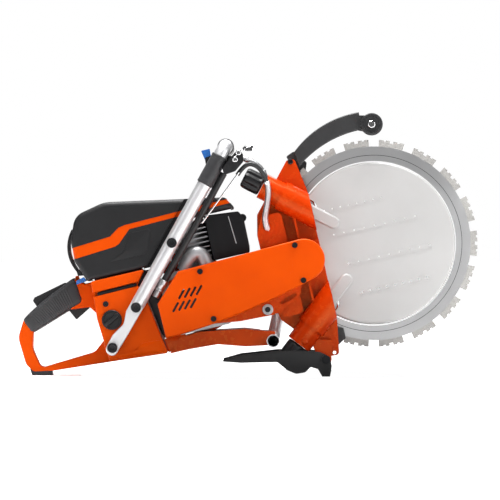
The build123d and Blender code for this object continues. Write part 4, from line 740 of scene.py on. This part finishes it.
# ---------------------------------------------------------------- studio
def studio_floor():
    """Flat round floor: radius x (cos, sin) of the angle, on rings that grow by doubling. It lights
    itself more from 1.2 m outwards, so that it fades into the white surroundings."""
    angle = np.linspace(0, 2 * np.pi, 64, endpoint=False)
    radius = 0.3 * 2.0 ** np.arange(9)[::-1]
    x, y = radius[:, None] * np.cos(angle), radius[:, None] * np.sin(angle)
    floor = skin("studio_floor", np.stack([x, y, np.zeros_like(x)], -1), "open")
    paper = moulded("studio paper", (0.90, 0.90, 0.90), (0.885, 0.885, 0.885), 0.9, 60.0, 1e-4, spec=0.1)
    nodes, links = paper.node_tree.nodes, paper.node_tree.links
    shader = nodes["Principled BSDF"]
    away = add(nodes, "ShaderNodeVectorMath", operation="LENGTH")
    links.new(nodes["Texture Coordinate"].outputs["Object"], away.inputs[0])
    own_light = spread(nodes, links, away.outputs["Value"], 0.3, 1.0, (1.2, 3.0))
    links.new(own_light, shader.inputs["Emission Strength"])
    shader.inputs["Emission Color"].default_value = (*WHITE, 1.0)
    floor.data.materials.append(paper)


def softbox(name, place, aim, size, power):
    """White area lamp, in metres and watts, turned to face its aim and unseen by the camera."""
    lamp = bpy.data.lights.new(name, "AREA")
    lamp.shape = "RECTANGLE"
    lamp.size, lamp.size_y = size
    lamp.energy = power
    holder = bpy.data.objects.new(name, lamp)
    holder.location = place
    holder.rotation_euler = (Vector(aim) - Vector(place)).to_track_quat("-Z", "Y").to_euler()
    holder.visible_camera = False
    bpy.context.scene.collection.objects.link(holder)


studio_floor()
softbox("top_bank", (0.0, -0.1, 1.9), (0.05, 0.0, 0.25), (1.5, 0.5), 72.0)
softbox("high_front", (-0.6, -3.0, 3.0), (0.0, 0.0, 0.2), (2.6, 1.4), 43.0)
softbox("right_panel", (2.4, -2.2, 0.9), (0.2, 0.0, 0.2), (1.0, 2.0), 30.0)
softbox("left_panel", (-2.6, -1.6, 1.0), (0.0, 0.0, 0.2), (0.8, 1.8), 10.0)
softbox("back_high", (0.3, 2.6, 2.2), (0.0, 0.0, 0.2), (3.0, 1.4), 45.0)
world = bpy.data.worlds.new("studio_air")
world.use_nodes = True
air, joins = world.node_tree.nodes, world.node_tree.links
dim = air["Background"]
dim.inputs["Color"].default_value = (*WHITE, 1.0)
dim.inputs["Strength"].default_value = 0.10
white = add(air, "ShaderNodeBackground", Color=(*WHITE, 1.0), Strength=1.0)
seen, choose = add(air, "ShaderNodeLightPath"), add(air, "ShaderNodeMixShader")
joins.new(seen.outputs["Is Camera Ray"], choose.inputs[0])
joins.new(dim.outputs[0], choose.inputs[1])
joins.new(white.outputs[0], choose.inputs[2])
joins.new(choose.outputs[0], air["World Output"].inputs["Surface"])
bpy.context.scene.world = world

CAMERA_AWAY, VIEW_WIDTH = 6.0, 0.8935  # metres, and the width seen at the ring's middle plane
lens = bpy.data.cameras.new("side_view")
lens.sensor_width = 36.0
lens.lens = lens.sensor_width * CAMERA_AWAY / VIEW_WIDTH
lens.clip_end = 60.0
camera = bpy.data.objects.new("side_view", lens)
camera.location = (0.0035, ring_centre[1] - CAMERA_AWAY, 0.224)
camera.rotation_euler = (math.radians(90.0), 0.0, 0.0)
bpy.context.scene.collection.objects.link(camera)
bpy.context.scene.camera = camera
bpy.context.scene.view_settings.view_transform = "Standard"
